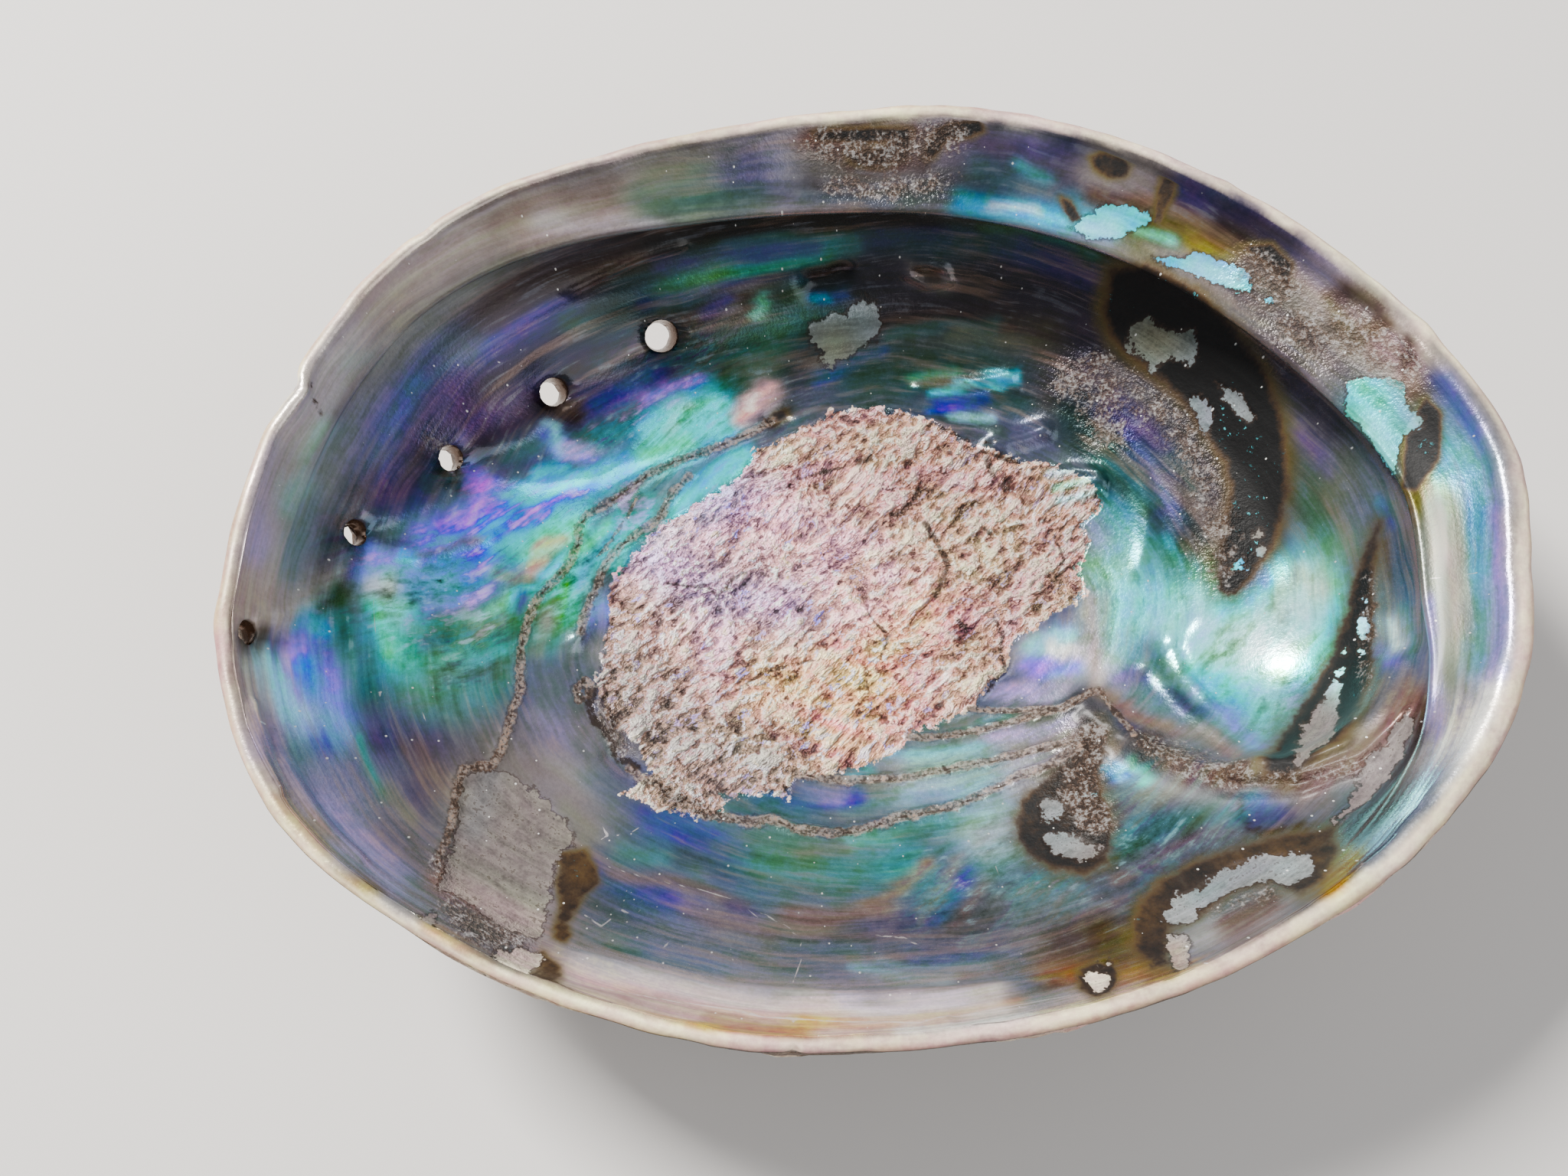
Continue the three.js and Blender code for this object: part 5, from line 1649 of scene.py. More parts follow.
def close_by(px, py, line, reach):
    """Which places lie in a line's box, with the reach round it."""
    xs, ys = zip(*line)
    return (px > min(xs) - reach) & (px < max(xs) + reach) & (py > min(ys) - reach) & (py < max(ys) + reach)


def painted(ground, px, py, strokes):
    """The shades where soft strokes are laid over a ground, one after another."""
    shades = np.tile(SHADES[ground], (len(px), 1))
    for name, strength, reach, *line in strokes:
        near = close_by(px, py, line, 1.5 * reach)
        distance = nearest(px[near], py[near], line)[0]
        share = strength * np.exp(-((distance / (SOFTNESS * reach)) ** FALL_OFF))
        shades[near] += (np.array(SHADES[name]) - shades[near]) * share[:, None]
    return shades


def cover(px, py, strokes):
    """A soft mask from strokes of strength, reach and places."""
    mask = np.zeros(len(px))
    for strength, reach, *line in strokes:
        near = close_by(px, py, line, 1.5 * reach)
        distance = nearest(px[near], py[near], line)[0]
        mask[near] = np.maximum(mask[near], strength * bell(distance, SOFTNESS * reach))
    return mask


def depth_inside(px, py, outline):
    """How far a place lies inside a closed outline, and below 0 outside it."""
    closed = outline + outline[:1]
    distance = nearest(px, py, closed)[0]
    inside = np.zeros(len(px), dtype=bool)
    for (ax, ay), (bx, by) in zip(closed, closed[1:]):
        if ay != by:
            inside ^= ((ay > py) != (by > py)) & (px < (bx - ax) * (py - ay) / (by - ay) + ax)
    return np.where(inside, distance, -distance)


def deepest(px, py, rows):
    """The greatest depth inside any of the outlines; each row is a limit, a sharpness and an outline."""
    depth = np.full(len(px), OUTSIDE)
    for limit, sharpness, outline in rows:
        near = close_by(px, py, outline, -OUTSIDE)
        found = np.minimum(limit, sharpness * depth_inside(px[near], py[near], outline))
        depth[near] = np.maximum(depth[near], found)
    return depth


def line_distance(px, py, rows):
    """Distance to the nearest line in half widths; a row starts with the half width, the line is last."""
    best = np.full(len(px), FURTHEST)
    for row in rows:
        near = close_by(px, py, row[-1], FURTHEST * row[0])
        best[near] = np.minimum(best[near], nearest(px[near], py[near], row[-1])[0] / row[0])
    return best


def grain_places(shell, around, across):
    """Places for noise that is stretched along the growth lines: lengths in mm around and across."""
    ring = GRAIN_RADIUS / around
    columns = [np.cos(shell["angle"]) * ring, np.sin(shell["angle"]) * ring, shell["across"] / across]
    return np.stack(columns, axis=1)


def scar_relief(points, depth):
    """The scar's overlapping scales in mm of height, its soft mask, and painted shading from 0 to 1, light
    on high places.
    """
    mask = smooth(-4, 10, depth + 9 * noise(points, 4, 3))
    turn = SCALE_TURN + 0.3 * noise(points, 16, 4)
    wave = 1.0 * noise(points, 5, 5, 2)
    x = points[:, 0] * np.cos(turn) + points[:, 1] * np.sin(turn) + wave
    y = points[:, 1] * np.cos(turn) - points[:, 0] * np.sin(turn) + wave
    height = np.zeros(len(points))
    for long, wide, rise, seed in SCAR_SCALES:
        distance, along, _ = scales(x / long, y / wide, seed)
        height += rise * (0.8 - distance) * (1 + 0.8 * along)
    height += SCAR_WRINKLES * noise(np.stack([x / 5, y / 1.7, points[:, 2] / 5], axis=1), 1, 8, 3)
    return height + SCAR_LUMPS * noise(points, 8, 6), mask, smooth(-0.35, 0.6, height)


def hollow_relief_fine(shell, px, py, masks):
    """Fine relief of the hollow side, in mm, above 0 towards the hollow."""
    points = shell["points"]
    streaks = noise(grain_places(shell, 16, 2.2), 1, 11, 2)
    height = STREAK_HEIGHT * streaks + LUMP_HEIGHT * noise(points, 11, 12)
    scar_height, scar, scar_shade = scar_relief(points, masks["scar"])
    height = mix(height, scar_height - SCAR_SINK, scar)
    for width, rise, line in CRACKS:
        near = close_by(px, py, line, 40)
        distance = nearest(px[near], py[near], line)[0]
        lips = (0.55 + 0.45 * noise(points[near], 1.3, 13)) * bell(distance - LIP_AWAY, LIP_WIDTH)
        height[near] += rise * lips - 0.5 * rise * bell(distance, width)
    for rise, width, line in FOLDS:
        near = close_by(px, py, line, 4 * width)
        distance = nearest(px[near], py[near], line)[0]
        height[near] += rise * bell(distance, width) * (1 + 0.25 * noise(points[near], 4, 14))
    for x, y, radius in PORES:
        away = np.linalg.norm(points[:, :2] - (x, y), axis=1) / radius
        height -= PORE_SINK * bell(away, 1.7)
    height += masks["crumbs"] * CRUMB_HEIGHT * noise(points, 1.2, 15, 2)
    height -= PLATE_DEPTH * smooth(-2, 3, masks["plates"])
    return height, scar_shade


def back_relief_fine(shell):
    """Fine relief of the back, in mm: growth steps, folds, chalky crust and pits."""
    points = shell["points"]
    steps = shell["across"] / STEP_LENGTH + 0.5 * noise(points, 22, 21) + 0.12 * noise(points, 5, 22)
    phase = steps - np.floor(steps)
    height = STEP_HEIGHT * (phase - smooth(0.82, 1, phase)) * (0.6 + 0.4 * noise(points, 14, 23))
    height += WRINKLE_HEIGHT * noise(grain_places(shell, 5, 30), 1, 24)
    crust = smooth(0.05, 0.35, noise(points, 15, 25, 3))
    distance, _, _ = scales(points[:, 0] / 2.6, points[:, 1] / 2.6 + points[:, 2] / 3.1, 26)
    height += crust * (CRUST_HEIGHT + 0.4 * (0.7 - distance) + 0.2 * noise(points, 1.4, 27))
    pits = smooth(0.45, 0.75, noise(points, 2.4, 28))
    return height - PIT_DEPTH * pits * (1 - crust), crust


def rim_relief(shell, px, py):
    """How far the rim's edge goes out (above 0) or is chipped away, in mm."""
    beside = np.isin(shell["zone"], [ZONES["back"], ZONES["ledge"]]) * smooth(*RIM_NEAR, shell["across"])
    near_rim = np.where(shell["zone"] == ZONES["crest"], 1, beside)
    out = RIM_WAVE * noise(grain_places(shell, 6, 1000), 1, 31, 2)
    out += RIM_RIPPLE * noise(grain_places(shell, 1.6, 1000), 1, 33)
    for x, y, reach, depth in CHIPS:
        out -= depth * bell(np.hypot(px - x, py - y), reach)
    return out * near_rim


def add_relief(shell):
    """Adds the fine relief along the normals and works out the marks; returns the marks by name."""
    points = shell["points"]
    px, py = picture_place(points)
    hollow = shell["zone"] < ZONES["crest"]
    masks = {"scar": np.where(hollow, depth_inside(px, py, SCAR_OUTLINE), OUTSIDE)}
    for name, rows in OUTLINES.items():
        masks[name] = np.where(hollow, deepest(px, py, rows), OUTSIDE)
    for name, rows in (("cracks", CRACKS), ("veins", VEINS), ("furrows", FURROWS)):
        masks[name] = np.where(hollow, line_distance(px, py, rows), FURTHEST)
    masks["crumbs"] = np.where(hollow, cover(px, py, CRUMB_STROKES), 0.0)
    fine, scar_shade = hollow_relief_fine(shell, px, py, masks)
    back, crust = back_relief_fine(shell)
    is_back = shell["zone"] == ZONES["back"]
    settle = smooth(*BACK_START, shell["across"]) * (1 - smooth(*BACK_END, shell["across"]))
    height = np.where(is_back, back * settle, 0)
    height = np.where(shell["zone"] <= ZONES["ledge"], fine, height)
    height = np.where((shell["zone"] == ZONES["edge"]), EDGE_RELIEF * fine, height)
    rim = rim_relief(shell, px, py)
    outward = points[:, :2] - POLE
    outward /= np.maximum(np.linalg.norm(outward, axis=1), 1e-6)[:, None]
    points += shell["normals"] * height[:, None]
    points[:, :2] += outward * rim[:, None]
    points[:, 2] = np.maximum(points[:, 2], 0)
    masks.update(scar_shade=scar_shade, crust=np.where(is_back, crust, 0), px=px, py=py)
    return masks


def base_shades(shell, masks):
    """The soft base shade of each point on the hollow side, and the mask of the rim's pale band."""
    points = shell["points"]
    cloudy = [0.7 * WANDER * noise(points, 6, seed, 2) for seed in (43, 44)]
    px = masks["px"] + cloudy[0] + WANDER * noise(grain_places(shell, 14, 1.6), 1, 41, 2)
    py = masks["py"] + cloudy[1] + WANDER * noise(grain_places(shell, 10, 2.2), 1, 42, 2)
    hollow = painted("slate", px, py, HOLLOW_STROKES)
    ledge = painted("fog", px, py, LEDGE_STROKES)
    on_ledge = np.isin(shell["zone"], [ZONES["edge"], ZONES["ledge"], ZONES["crest"]])
    overhang = np.interp(shell["angle"], RIM_ANGLES, RIM_COLUMNS[3], period=TURN)
    shades = mix(hollow, ledge, (smooth(0.1, 0.5, overhang) * on_ledge)[:, None])
    # painted shadow: the colours darkened along the shadow strokes
    shades = shades * (1 - cover(masks["px"], masks["py"], SHADOW_STROKES))[:, None]
    reach = np.interp(shell["angle"], RIM_ANGLES, RIM_COLUMNS[0], period=TURN)
    away = reach - np.hypot(points[:, 0] - POLE[0], points[:, 1] - POLE[1])
    away += 0.35 * noise(points, 2.5, 45, 2)
    width = np.interp(np.degrees(shell["angle"]), *zip(*RIM_BAND), period=360)
    band = smooth(width + 0.5, width - 0.4, away) * (shell["zone"] <= ZONES["crest"])
    shades = mix(shades, np.array(SHADES["cream"]), 0.9 * band[:, None])
    outer = smooth(0.9, 0.1, away) * band
    return mix(shades, np.array(SHADES["clay"]), 0.6 * outer[:, None]), band


def linear(shade):
    """A displayed shade as the linear colour that the shader takes."""
    shade = np.asarray(shade, dtype=float)
    return np.where(shade < 0.04045, shade / 12.92, ((shade + 0.055) / 1.055) ** 2.4)


def colour_of(name):
    return (*linear(SHADES[name]), 1)


class Shading:
    """Short calls for the nodes of one material."""

    def __init__(self, name):
        self.material = bpy.data.materials.new(name)
        self.material.use_nodes = True
        self.tree = self.material.node_tree
        self.shader = self.tree.nodes["Principled BSDF"]

    def node(self, kind, inputs=(), **settings):
        node = self.tree.nodes.new(kind)
        for name, value in settings.items():
            setattr(node, name, value)
        for key, value in dict(inputs).items():
            self.feed(node.inputs[key], value)
        return node

    def feed(self, socket, value):
        if isinstance(value, bpy.types.NodeSocket):
            self.tree.links.new(value, socket)
        else:
            socket.default_value = value

    def mark(self, name, output="Fac"):
        """A mark of the mesh: a value, or with the other outputs a colour or a place."""
        return self.node("ShaderNodeAttribute", attribute_name=name).outputs[output]

    def tinted(self, name):
        return self.mark(name, "Color")

    def place(self, name):
        return self.mark(name, "Vector")

    def math(self, operation, a, b=0.0):
        return self.node("ShaderNodeMath", {0: a, 1: b}, operation=operation).outputs[0]

    def add(self, *values):
        total = values[0]
        for value in values[1:]:
            total = self.math("ADD", total, value)
        return total

    def times(self, *values):
        total = values[0]
        for value in values[1:]:
            total = self.math("MULTIPLY", total, value)
        return total

    def swing(self, value, amount):
        """A noise from 0 to 1 as a swing round 0."""
        return self.times(self.add(value, -0.5), amount)

    def wave(self, value, amount):
        """A noise as a swing between the amount below and above 0, with more contrast."""
        return self.step(value, 0.32, 0.68, -amount, amount)

    def invert(self, a):
        return self.math("SUBTRACT", 1.0, a)

    def step(self, value, low, high, start=0.0, end=1.0):
        inputs = {0: value, 1: low, 2: high, 3: start, 4: end}
        return self.node("ShaderNodeMapRange", inputs, interpolation_type="SMOOTHSTEP").outputs[0]

    def scaled(self, place, x, y, z):
        return self.node("ShaderNodeVectorMath", {0: place, 1: (x, y, z)}, operation="MULTIPLY").outputs[0]

    def noise(self, place, scale, detail=2.0, roughness=0.5, dimensions="3D"):
        """Noise from 0 to 1; the scale is lumps per unit of the place."""
        inputs = {"Vector": place, "Scale": scale, "Detail": detail, "Roughness": roughness}
        return self.node("ShaderNodeTexNoise", inputs, noise_dimensions=dimensions).outputs[0]

    def cells(self, place, scale):
        """Scattered dots: the distance to the nearest, and its own share from 0 to 1."""
        inputs = {"Vector": place, "Scale": scale}
        node = self.node("ShaderNodeTexVoronoi", inputs, feature="F1", voronoi_dimensions="2D")
        share = self.node("ShaderNodeSeparateColor", {0: node.outputs["Color"]}).outputs[0]
        return node.outputs["Distance"], share

    def mean(self, share, a, b):
        return self.node("ShaderNodeMix", {0: share, 2: a, 3: b}).outputs[0]

    def blend(self, share, a, b, mode="MIX"):
        a, b = (colour_of(c) if isinstance(c, str) else c for c in (a, b))
        inputs = {0: share, 6: a, 7: b}
        return self.node("ShaderNodeMix", inputs, data_type="RGBA", blend_type=mode).outputs[2]

    def ramp(self, value, *stops):
        node = self.node("ShaderNodeValToRGB", {0: value})
        elements = node.color_ramp.elements
        while len(elements) < len(stops):
            elements.new(0.5)
        for element, (at, name) in zip(elements, stops):
            element.position = at
            element.color = colour_of(name)
        return node.outputs[0]

    def tuned(self, colour, hue, saturation, value):
        inputs = {"Color": colour, "Hue": hue, "Saturation": saturation, "Value": value}
        return self.node("ShaderNodeHueSaturation", inputs).outputs[0]


def make_nacre():
    s = Shading("nacre")
    s.spot = s.scaled(s.node("ShaderNodeTexCoord").outputs["Object"], 1 / MM, 1 / MM, 1 / MM)
    s.cloud, s.patch, s.veil = s.node("ShaderNodeSeparateXYZ", {0: s.place("mottle")}).outputs
    s.flake = s.noise(s.spot, 0.55, 2.0, 0.6)
    s.grit = s.noise(s.spot, 2.0, 2.0, 0.65)
    s.fine = s.add(s.times(s.grit, 0.6), s.times(s.flake, 0.4))
    s.ragged = s.noise(s.spot, 0.45, 3.0, 0.7, "2D")
    s.silk = s.mark("silk")
    s.dull = s.mark("dull")
    s.back = s.mark("back")
    lay_scar(s)
    base = nacre_colour(s)
    base = s.blend(s.scar, base, scar_colour(s))
    base = add_stains(s, base)
    base = add_windows(s, base)
    base = add_crumbs_and_plates(s, base)
    base = add_lines(s, base)
    base = s.blend(s.back, base, back_colour(s))
    s.feed(s.shader.inputs["Base Color"], s.blend(s.mark("pore"), base, "brown"))
    set_gloss(s)
    set_bump(s)
    return s.material


def lay_scar(s):
    """The scar's thin sheets, each broken off along a ragged edge, and the scar's own ragged edge."""
    place = s.place("scar_place")
    s.broad = s.noise(s.scaled(place, 0.15, 0.3, 0.0), 1.0, 2.0, 0.6, "2D")
    s.small = s.noise(s.scaled(place, 0.55, 0.95, 0.0), 1.0, 3.0, 0.6, "2D")
    sheets = s.add(s.times(s.broad, 5.0), s.times(s.small, 3.5))
    s.sheet = s.math("FRACT", sheets)
    s.layer = s.math("FRACT", s.times(s.math("FLOOR", sheets), 0.382))
    depth = s.add(s.mark("scar"), s.swing(s.small, 16.0), s.swing(s.ragged, 30.0))
    s.scar = s.step(depth, -1.5, 2.0)
    s.pearl = s.times(s.mark("hollow"), s.invert(s.scar))


def nacre_colour(s):
    """Nacre: streaks along the growth lines, or slanted where it is silky, cloudy patches, and painted
    reflection that makes the silky areas brighter.
    """
    grain = s.place("grain")
    silk_short = s.noise(s.scaled(s.place("slant"), 0.22, 0.9, 0.0), 1.0, 3.0, 0.62, "2D")
    ring_short = s.noise(s.scaled(grain, 0.16, 0.16, 1.3), 1.0, 2.0, 0.6)
    s.streak = s.mark("streak")
    s.thread = s.mean(s.silk, ring_short, silk_short)
    lively = s.invert(s.times(s.dull, 0.75))
    flat_pearl = s.times(s.pearl, s.invert(s.silk), lively)
    silk_hue = s.add(s.wave(s.patch, 0.04), s.wave(s.streak, 0.035), s.wave(silk_short, 0.045), -0.008)
    s.hue = s.add(
        s.wave(s.streak, 0.04), s.wave(s.cloud, 0.035), s.wave(s.flake, 0.02),
        s.times(s.silk, silk_hue), 0.5,
    )
    value = s.add(
        s.wave(s.streak, 0.3), s.wave(s.thread, 0.24), s.wave(s.cloud, 0.14), s.wave(s.flake, 0.12),
    )
    value = s.add(s.times(value, lively, s.mean(s.silk, 0.7, 1.25)), s.wave(s.grit, 0.06), 1.0)
    # painted reflection: the silky areas are painted up to 30 per cent brighter
    s.value = s.times(value, s.mean(s.silk, 1.0, 1.3), s.invert(s.times(s.dull, 0.15)))
    vivid = s.times(s.step(s.cloud, 0.3, 0.7, 0.95, 1.25), s.mean(s.silk, 1.04, 1.24))
    base = s.tuned(s.tinted("tint"), s.hue, vivid, s.value)
    rainbow = s.ramp(
        s.add(s.times(s.patch, 0.5), s.times(silk_short, 0.25), s.times(s.streak, 0.25)),
        (0.4, "blue"), (0.46, "lavender"), (0.5, "cyan"), (0.55, "green"), (0.6, "lilac"),
    )
    rainbow = s.tuned(rainbow, 0.5, 1.1, s.value)
    base = s.blend(s.times(s.silk, s.pearl, s.step(s.patch, 0.4, 0.65, 0.0, 0.4)), base, rainbow)
    crease = s.step(s.math("ABSOLUTE", s.add(silk_short, -0.5)), 0.012, 0.003)
    base = s.blend(s.times(crease, s.step(s.veil, 0.46, 0.56), s.silk, s.pearl, 0.55), base, "indigo")
    shimmer = s.ramp(
        s.add(s.times(s.cloud, 0.5), s.times(ring_short, 0.3), s.times(s.flake, 0.2)),
        (0.38, "green"), (0.45, "teal"), (0.5, "blue"), (0.55, "violet"), (0.62, "tan"),
    )
    base = s.blend(s.times(flat_pearl, 0.3), base, shimmer, "OVERLAY")
    veil = s.step(s.add(s.times(s.veil, 0.7), s.times(ring_short, 0.3)), 0.5, 0.66)
    base = s.blend(s.times(veil, flat_pearl, 0.35), base, "tan")
    # gleam: pale streaks of painted sheen along the brightest threads
    gleam = s.step(s.add(s.times(s.flake, 0.3), s.times(s.thread, 0.7)), 0.55, 0.66)
    gleam = s.times(gleam, s.pearl, lively, s.mean(s.silk, 0.3, 0.35))
    return s.blend(gleam, base, s.blend(s.silk, "slate", "sky"))


def scar_colour(s):
    """Each sheet has its own shade, with painted shadow as a dark line at its foot and in crevices, and
    painted pearly glints on some.
    """
    # the tone mixes each sheet's own shade with the painted shading of the scales' relief
    shade = s.add(
        s.times(s.layer, 0.16), s.times(s.sheet, 0.22), s.times(s.mark("scar_shade"), 0.4),
        s.wave(s.broad, 0.22), s.wave(s.small, 0.24), s.wave(s.grit, 0.1), 0.19,
    )
    colour = s.ramp(
        shade,
        (0.16, "umber"), (0.28, "brown"), (0.38, "tan"), (0.48, "clay"), (0.6, "peach"), (0.74, "pink"),
        (0.88, "white"),
    )
    hue = s.add(s.hue, s.wave(s.small, 0.03))
    flushed = s.tuned(s.tinted("scar_tint"), hue, 1.15, s.add(0.18, s.times(shade, 1.5)))
    colour = s.blend(0.68, colour, flushed)
    # painted glints, strongest where the glow strokes are
    glint = s.ramp(
        s.add(s.times(s.layer, 0.35), s.times(s.cloud, 0.3), s.times(s.small, 0.35)),
        (0.3, "blue"), (0.4, "lavender"), (0.5, "lilac"), (0.6, "white"), (0.68, "cream"), (0.76, "gold"),
    )
    glow = s.add(0.3, s.times(s.mark("glow"), 0.6))
    colour = s.blend(s.times(s.step(s.small, 0.52, 0.56), s.step(s.flake, 0.46, 0.54), glow), colour, glint)
    # painted shadow at the foot of each sheet and in the crevices
    foot = s.times(s.step(s.sheet, 0.16, 0.04), s.step(s.flake, 0.44, 0.56))
    hole = s.times(s.step(s.flake, 0.42, 0.37), s.step(s.small, 0.53, 0.48))
    return s.blend(s.times(s.math("MAXIMUM", foot, hole), 0.75), colour, "umber")


def add_stains(s, base):
    """Dark stains with an olive halo and a few bright specks."""
    depth = s.add(s.mark("stains"), s.swing(s.ragged, 14.0), s.swing(s.grit, 5.0))
    s.stain = s.step(depth, -9.0, 5.0)
    core = s.step(depth, -1.0, 11.0)
    halo = s.times(s.step(depth, -26.0, 2.0), s.invert(s.mark("crumbs")))
    base = s.blend(s.times(halo, s.step(s.cloud, 0.3, 0.6, 0.45, 0.85)), base, "olive")
    base = s.blend(s.stain, base, s.blend(s.step(s.cloud, 0.4, 0.6), "umber", "bark"))
    base = s.blend(core, base, "ink")
    salt = s.times(core, s.step(s.fine, 0.6, 0.66), s.step(s.cloud, 0.56, 0.64))
    return s.blend(s.times(salt, 0.6), base, "turquoise")


def add_windows(s, base):
    """Windows of bright nacre with crisp edges."""
    depth = s.add(s.mark("windows"), s.swing(s.ragged, 26.0), s.swing(s.grit, 7.0))
    window = s.step(depth, -1.0, 1.5)
    base = s.blend(s.times(s.step(depth, -6.0, -1.0), s.invert(window), 0.6), base, "umber")
    return s.blend(window, base, s.tuned(s.tinted("plate_tint"), s.hue, 1.15, s.times(s.value, 1.1)))


def add_crumbs_and_plates(s, base):
    """Speckled crumbs, and pitted plates where the top layer has flaked away."""
    s.crumbs = s.step(s.add(s.mark("crumbs"), s.swing(s.ragged, 1.3), s.swing(s.grit, 0.6)), 0.35, 0.75)
    pepper = s.ramp(s.fine, (0.45, "umber"), (0.5, "brown"), (0.55, "ash"), (0.61, "fog"))
    base = s.blend(s.times(s.crumbs, 0.65), base, pepper)
    depth = s.add(s.mark("plates"), s.swing(s.ragged, 30.0), s.swing(s.grit, 8.0))
    s.plate = s.step(depth, -1.0, 1.2)
    value = s.add(0.74, s.wave(s.flake, 0.16), s.wave(s.grit, 0.12), s.wave(s.thread, 0.12))
    colour = s.tuned(s.tinted("plate_tint"), s.hue, 1.0, value)
    colour = s.blend(s.times(s.step(s.fine, 0.56, 0.62), 0.6), colour, "umber")
    base = s.blend(s.plate, base, colour)
    return s.blend(s.times(s.step(depth, -4.5, -1.0), s.invert(s.plate), 0.7), base, "umber")


def add_lines(s, base):
    """Crumbly cracks with painted shadow inside, dark furrows, pale veins, and white specks as painted
    glints.
    """
    rough = s.swing(s.grit, 3.0)
    distance = s.add(s.mark("cracks"), s.swing(s.ragged, 5.0), rough)
    s.lips = s.step(distance, 3.4, 2.0)
    crumbly = s.ramp(s.fine, (0.42, "umber"), (0.48, "brown"), (0.54, "ash"), (0.62, "tan"))
    base = s.blend(s.times(s.lips, 0.8), base, crumbly)
    edge = s.times(s.step(distance, 4.4, 3.4), s.invert(s.lips), s.step(s.flake, 0.47, 0.55))
    base = s.blend(s.times(edge, 0.4), base, "umber")
    # painted shadow in the cracks
    crack_shadow = s.step(s.add(s.mark("cracks"), s.times(rough, 0.7)), 1.1, 0.5)
    base = s.blend(s.times(crack_shadow, s.step(s.ragged, 0.42, 0.54, 0.25, 0.85)), base, "umber")
    furrow = s.step(s.add(s.mark("furrows"), s.swing(s.grit, 2.0), s.swing(s.flake, 3.0)), 1.6, 0.5)
    base = s.blend(s.times(furrow, 0.85), base, "umber")
    bare = s.invert(s.stain)
    vein = s.step(s.add(s.mark("veins"), s.times(rough, 0.35)), 1.2, 0.5)
    base = s.blend(s.times(vein, bare, 0.55), base, "pearl")
    # painted glints: small white specks
    dots, share = s.cells(s.spot, 0.35)
    speck = s.step(s.math("SUBTRACT", dots, s.add(s.times(share, 0.13), -0.09)), 0.02, 0.0)
    return s.blend(s.times(speck, s.pearl, 0.6), base, "white")


def back_colour(s):
    """Grey-brown horn under a chalky crust."""
    crust = s.step(s.add(s.mark("crust"), s.swing(s.flake, 1.2), s.swing(s.grit, 0.6)), 0.35, 0.65)
    horn = s.blend(s.step(s.cloud, 0.35, 0.65, 0.0, 0.5), "brown", "olive")
    horn = s.blend(s.step(s.streak, 0.4, 0.7), horn, "ash")
    horn = s.blend(s.step(s.patch, 0.5, 0.75, 0.0, 0.6), horn, "tan")
    chalk = s.blend(s.step(s.flake, 0.3, 0.7), "clay", "cream")
    chalk = s.blend(s.step(s.cloud, 0.5, 0.7), chalk, "rose")
    outside = s.blend(s.times(crust, 0.85), horn, chalk)
    return s.blend(s.step(s.fine, 0.54, 0.64), outside, "umber")


def set_gloss(s):
    """Roughness, metal and coat: matt on the back, the plates, crumbs and lips, and shiny on the nacre."""
    crest = s.mark("crest")
    matt = s.math("MAXIMUM", s.math("MAXIMUM", s.back, s.times(s.plate, 0.85)), s.times(s.crumbs, 0.6))
    matt = s.math("MAXIMUM", s.math("MAXIMUM", matt, s.times(s.lips, 0.6)), s.times(s.dull, 0.7))
    rough = s.add(
        0.2, s.swing(s.grit, 0.2), s.times(s.flake, 0.1), s.times(s.scar, 0.08), s.times(crest, 0.2),
        s.times(s.stain, 0.3),
    )
    s.feed(s.shader.inputs["Roughness"], s.mean(matt, rough, MATT_ROUGHNESS))
    clean = s.times(s.invert(matt), s.invert(crest))
    metal = s.times(clean, s.invert(s.times(s.scar, 0.75)), s.invert(s.times(s.stain, 0.8)))
    s.feed(s.shader.inputs["Metallic"], s.times(metal, s.mean(s.silk, METAL, SILKY_METAL)))
    s.feed(s.shader.inputs["Coat Weight"], s.times(clean, s.invert(s.times(s.stain, 0.9)), COAT_WEIGHT))
    s.shader.inputs["Coat Roughness"].default_value = COAT_ROUGHNESS
    s.shader.inputs["Specular IOR Level"].default_value = SPECULAR


def set_bump(s):
    """Bump, in millimetres of height."""
    scar = s.step(s.mark("scar"), -4.0, 6.0)
    ripple = s.add(s.times(s.streak, 0.14), s.times(s.grit, 0.04))
    sheets = s.add(s.times(s.sheet, 0.16), s.times(s.small, 1.0), s.times(s.broad, 1.8), -1.5)
    lumpy = s.add(s.times(s.mark("crumbs"), 0.45), s.times(s.back, 0.6))
    height = s.add(s.times(ripple, s.invert(scar)), s.times(sheets, scar), s.times(s.grit, lumpy))
    bump = s.node("ShaderNodeBump", {"Height": height, "Distance": MM, "Strength": 1.0})
    s.feed(s.shader.inputs["Normal"], bump.outputs[0])


def make_shell():
    shell = join_rings(build_rings())
    for pore in PORES:
        drill(shell, pore)
    shell["normals"] = outward_normals(shell)
    masks = add_relief(shell)
    mesh = to_mesh("shell_surface", shell)
    bm = bmesh.new()
    bm.from_mesh(mesh)
    bmesh.ops.recalc_face_normals(bm, faces=bm.faces)
    open_edges = sum(not edge.is_manifold for edge in bm.edges)
    print("triangles", len(bm.faces), "open edges", open_edges, "volume cm3", bm.calc_volume() * 1e6)
    bm.to_mesh(mesh)
    bm.free()
    add_marks(mesh, shell, masks)
    mesh.materials.append(make_nacre())
    piece = bpy.data.objects.new("paua_shell", mesh)
    bpy.context.scene.collection.objects.link(piece)
    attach(piece, "root")
    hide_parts("shell")


def outward_normals(shell):
    """Normals that point out of the solid: on the hollow side into the hollow."""
    normals = normals_of(shell["points"], shell["faces"])
    return normals if normals[0, 2] > 0 else -normals


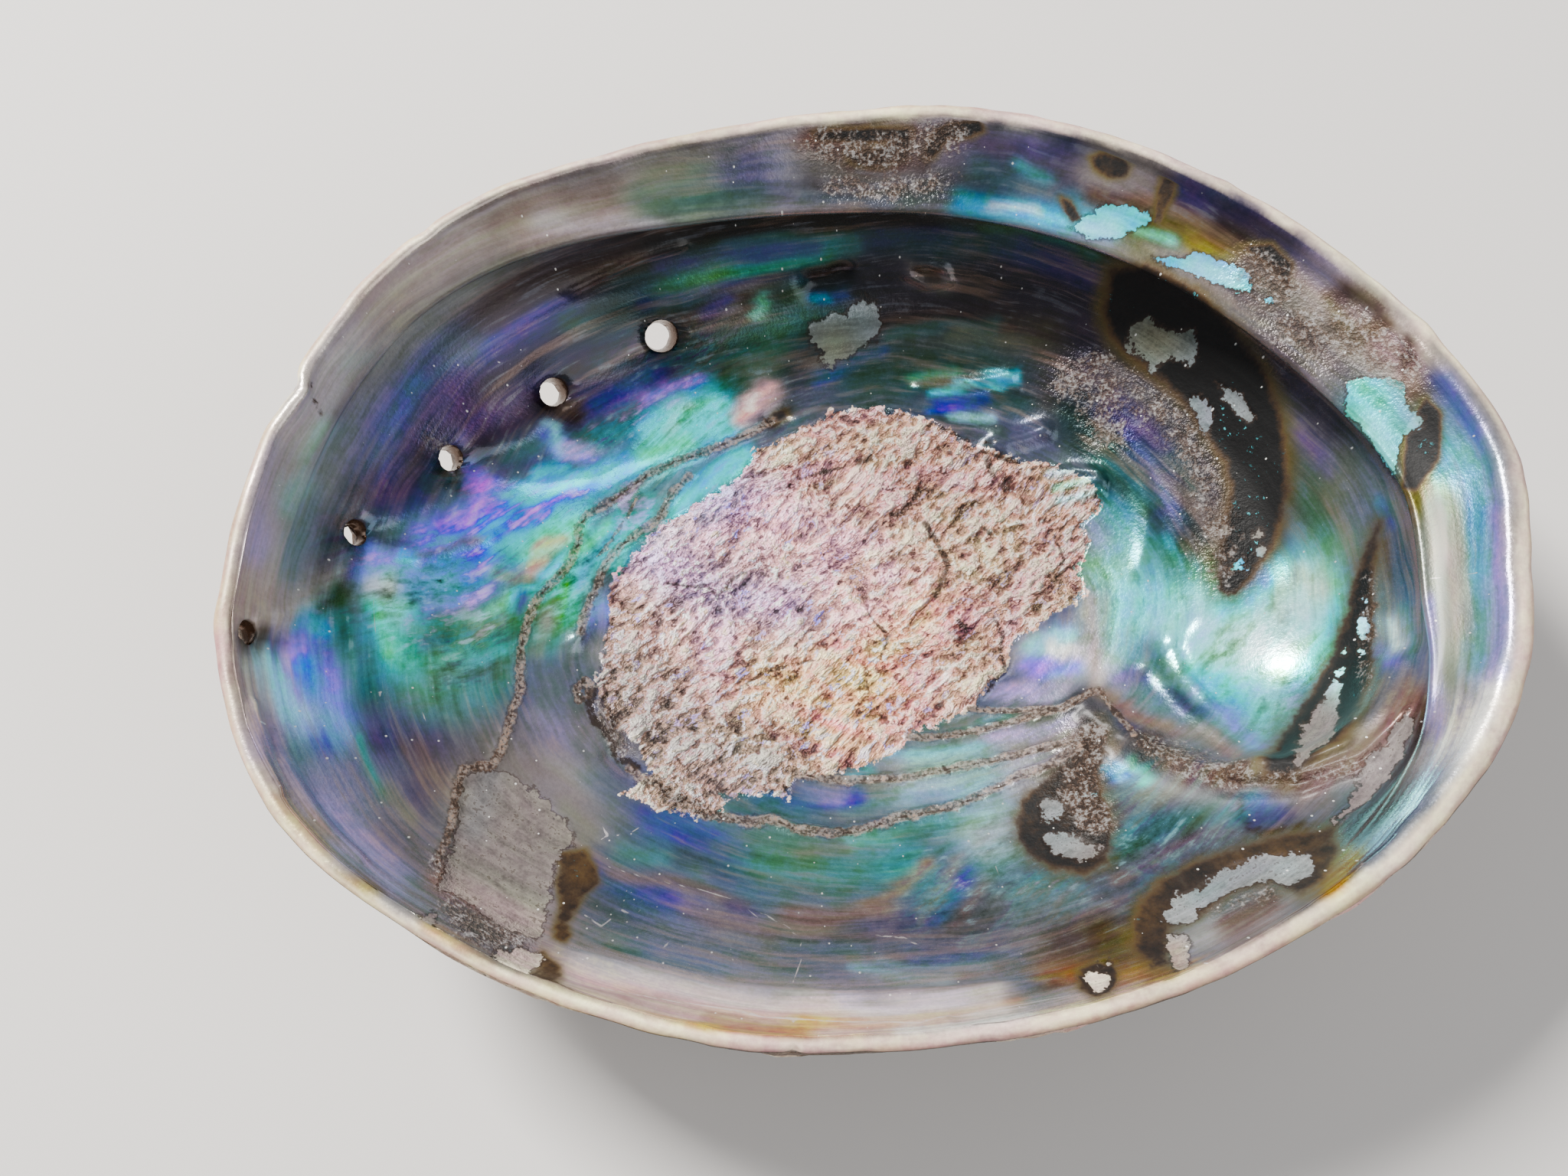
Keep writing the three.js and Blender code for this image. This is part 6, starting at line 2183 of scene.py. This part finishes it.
def add_marks(mesh, shell, masks):
    """Puts the shades and marks on the mesh's points, for the material to read."""
    zone = shell["zone"]
    px, py = masks["px"], masks["py"]
    tint, band = base_shades(shell, masks)
    shades = {
        "tint": tint,
        "scar_tint": painted("copper", px, py, SCAR_STROKES),
        "plate_tint": painted("fog", px, py, PLATE_STROKES),
    }
    for name, values in shades.items():
        colours = np.concatenate([linear(np.clip(values, 0, 1)), np.ones((len(zone), 1))], axis=1)
        mesh.attributes.new(name, "FLOAT_COLOR", "POINT").data.foreach_set("color", colours.ravel())
    marks = {
        "hollow": zone <= ZONES["ledge"],
        "back": zone == ZONES["back"],
        "crest": band,
        "silk": cover(px, py, SILK_AND_SHEEN_STROKES),
        "glow": cover(px, py, GLOW_STROKES),
        "dull": cover(px, py, DULL_STROKES) * (zone <= ZONES["ledge"]),
        "pore": zone == ZONES["pore"],
    }
    marks.update((name, values) for name, values in masks.items() if name not in ("px", "py"))
    places, marks["streak"] = soft_noises(shell, marks["silk"])
    for name, values in marks.items():
        data = mesh.attributes.new(name, "FLOAT", "POINT").data
        data.foreach_set("value", np.asarray(values, dtype=np.float32))
    for name, values in places.items():
        data = mesh.attributes.new(name, "FLOAT_VECTOR", "POINT").data
        data.foreach_set("vector", values.astype(np.float32).ravel())


def slanted(points, turn, sway, length, seed):
    """Places along and across a slant, with a soft sway, for noise in flat streaks."""
    x, y = (points[:, :2] + sway * noise(points, length, seed)[:, None]).T
    along = x * np.cos(turn) - y * np.sin(turn)
    return np.stack([along, x * np.sin(turn) + y * np.cos(turn), points[:, 2]], axis=1)


def soft_noises(shell, silk):
    """Places along the growth lines and along slants, three cloudy noises, and the long streaks."""
    points = shell["points"]
    grain = grain_places(shell, 1, 1)
    grain[:, 2] += 1.1 * noise(points, 9, 54, 2)
    slant = slanted(points, SILK_TURN, 5, 12, 55)
    clouds = [
        noise(points, 7, 51, 3),
        noise(slant / (10, 4, 5), 1, 52, 3),
        noise(grain_places(shell, 14, 2.5), 1, 53, 3),
    ]
    ring = noise(grain * (0.05, 0.05, 0.5), 1, 56, 3)
    streak = mix(ring, noise(slant / (12, 3, 10), 1, 57, 3), silk)
    places = {
        "grain": grain,
        "slant": slant,
        "scar_place": slanted(points, SCAR_TURN, 1.6, 7, 58),
        "mottle": 0.5 + MOTTLE_SPREAD * np.stack(clouds, axis=1),
    }
    return places, 0.5 + MOTTLE_SPREAD * streak


def make_camera():
    right, up, back = camera_axes()
    data = bpy.data.cameras.new("camera")
    data.sensor_width = SENSOR
    data.lens = SENSOR * FOCAL_PIXELS / PICTURE[0]
    camera = bpy.data.objects.new("camera", data)
    camera.location = Vector((LOOK_AT + DISTANCE * back) * MM)
    camera.rotation_euler = Vector(back).to_track_quat("Z", "Y").to_euler()
    bpy.context.scene.collection.objects.link(camera)
    bpy.context.scene.camera = camera


def make_floor():
    bpy.ops.mesh.primitive_plane_add(size=FLOOR_SIZE)
    floor = bpy.context.object
    floor.name = "floor"
    paper = bpy.data.materials.new("pale floor")
    paper.use_nodes = True
    shader = paper.node_tree.nodes["Principled BSDF"]
    shader.inputs["Base Color"].default_value = FLOOR_SHADE
    shader.inputs["Roughness"].default_value = FLOOR_ROUGHNESS
    floor.data.materials.append(paper)


def make_light(name, place, size, power, gloss, colour):
    data = bpy.data.lights.new(name, "AREA")
    data.size = size
    data.energy = power
    data.color = colour
    data.specular_factor = gloss
    light = bpy.data.objects.new(name, data)
    light.location = place
    light.rotation_euler = Vector(place).to_track_quat("Z", "Y").to_euler()
    bpy.context.scene.collection.objects.link(light)


def make_sky():
    world = bpy.data.worlds.new("world")
    bpy.context.scene.world = world
    world.use_nodes = True
    background = world.node_tree.nodes["Background"]
    background.inputs["Color"].default_value = SKY_SHADE
    background.inputs["Strength"].default_value = SKY_STRENGTH


make_camera()
make_shell()
make_floor()
for light_name, settings in LIGHTS.items():
    make_light(light_name, *settings)
make_sky()
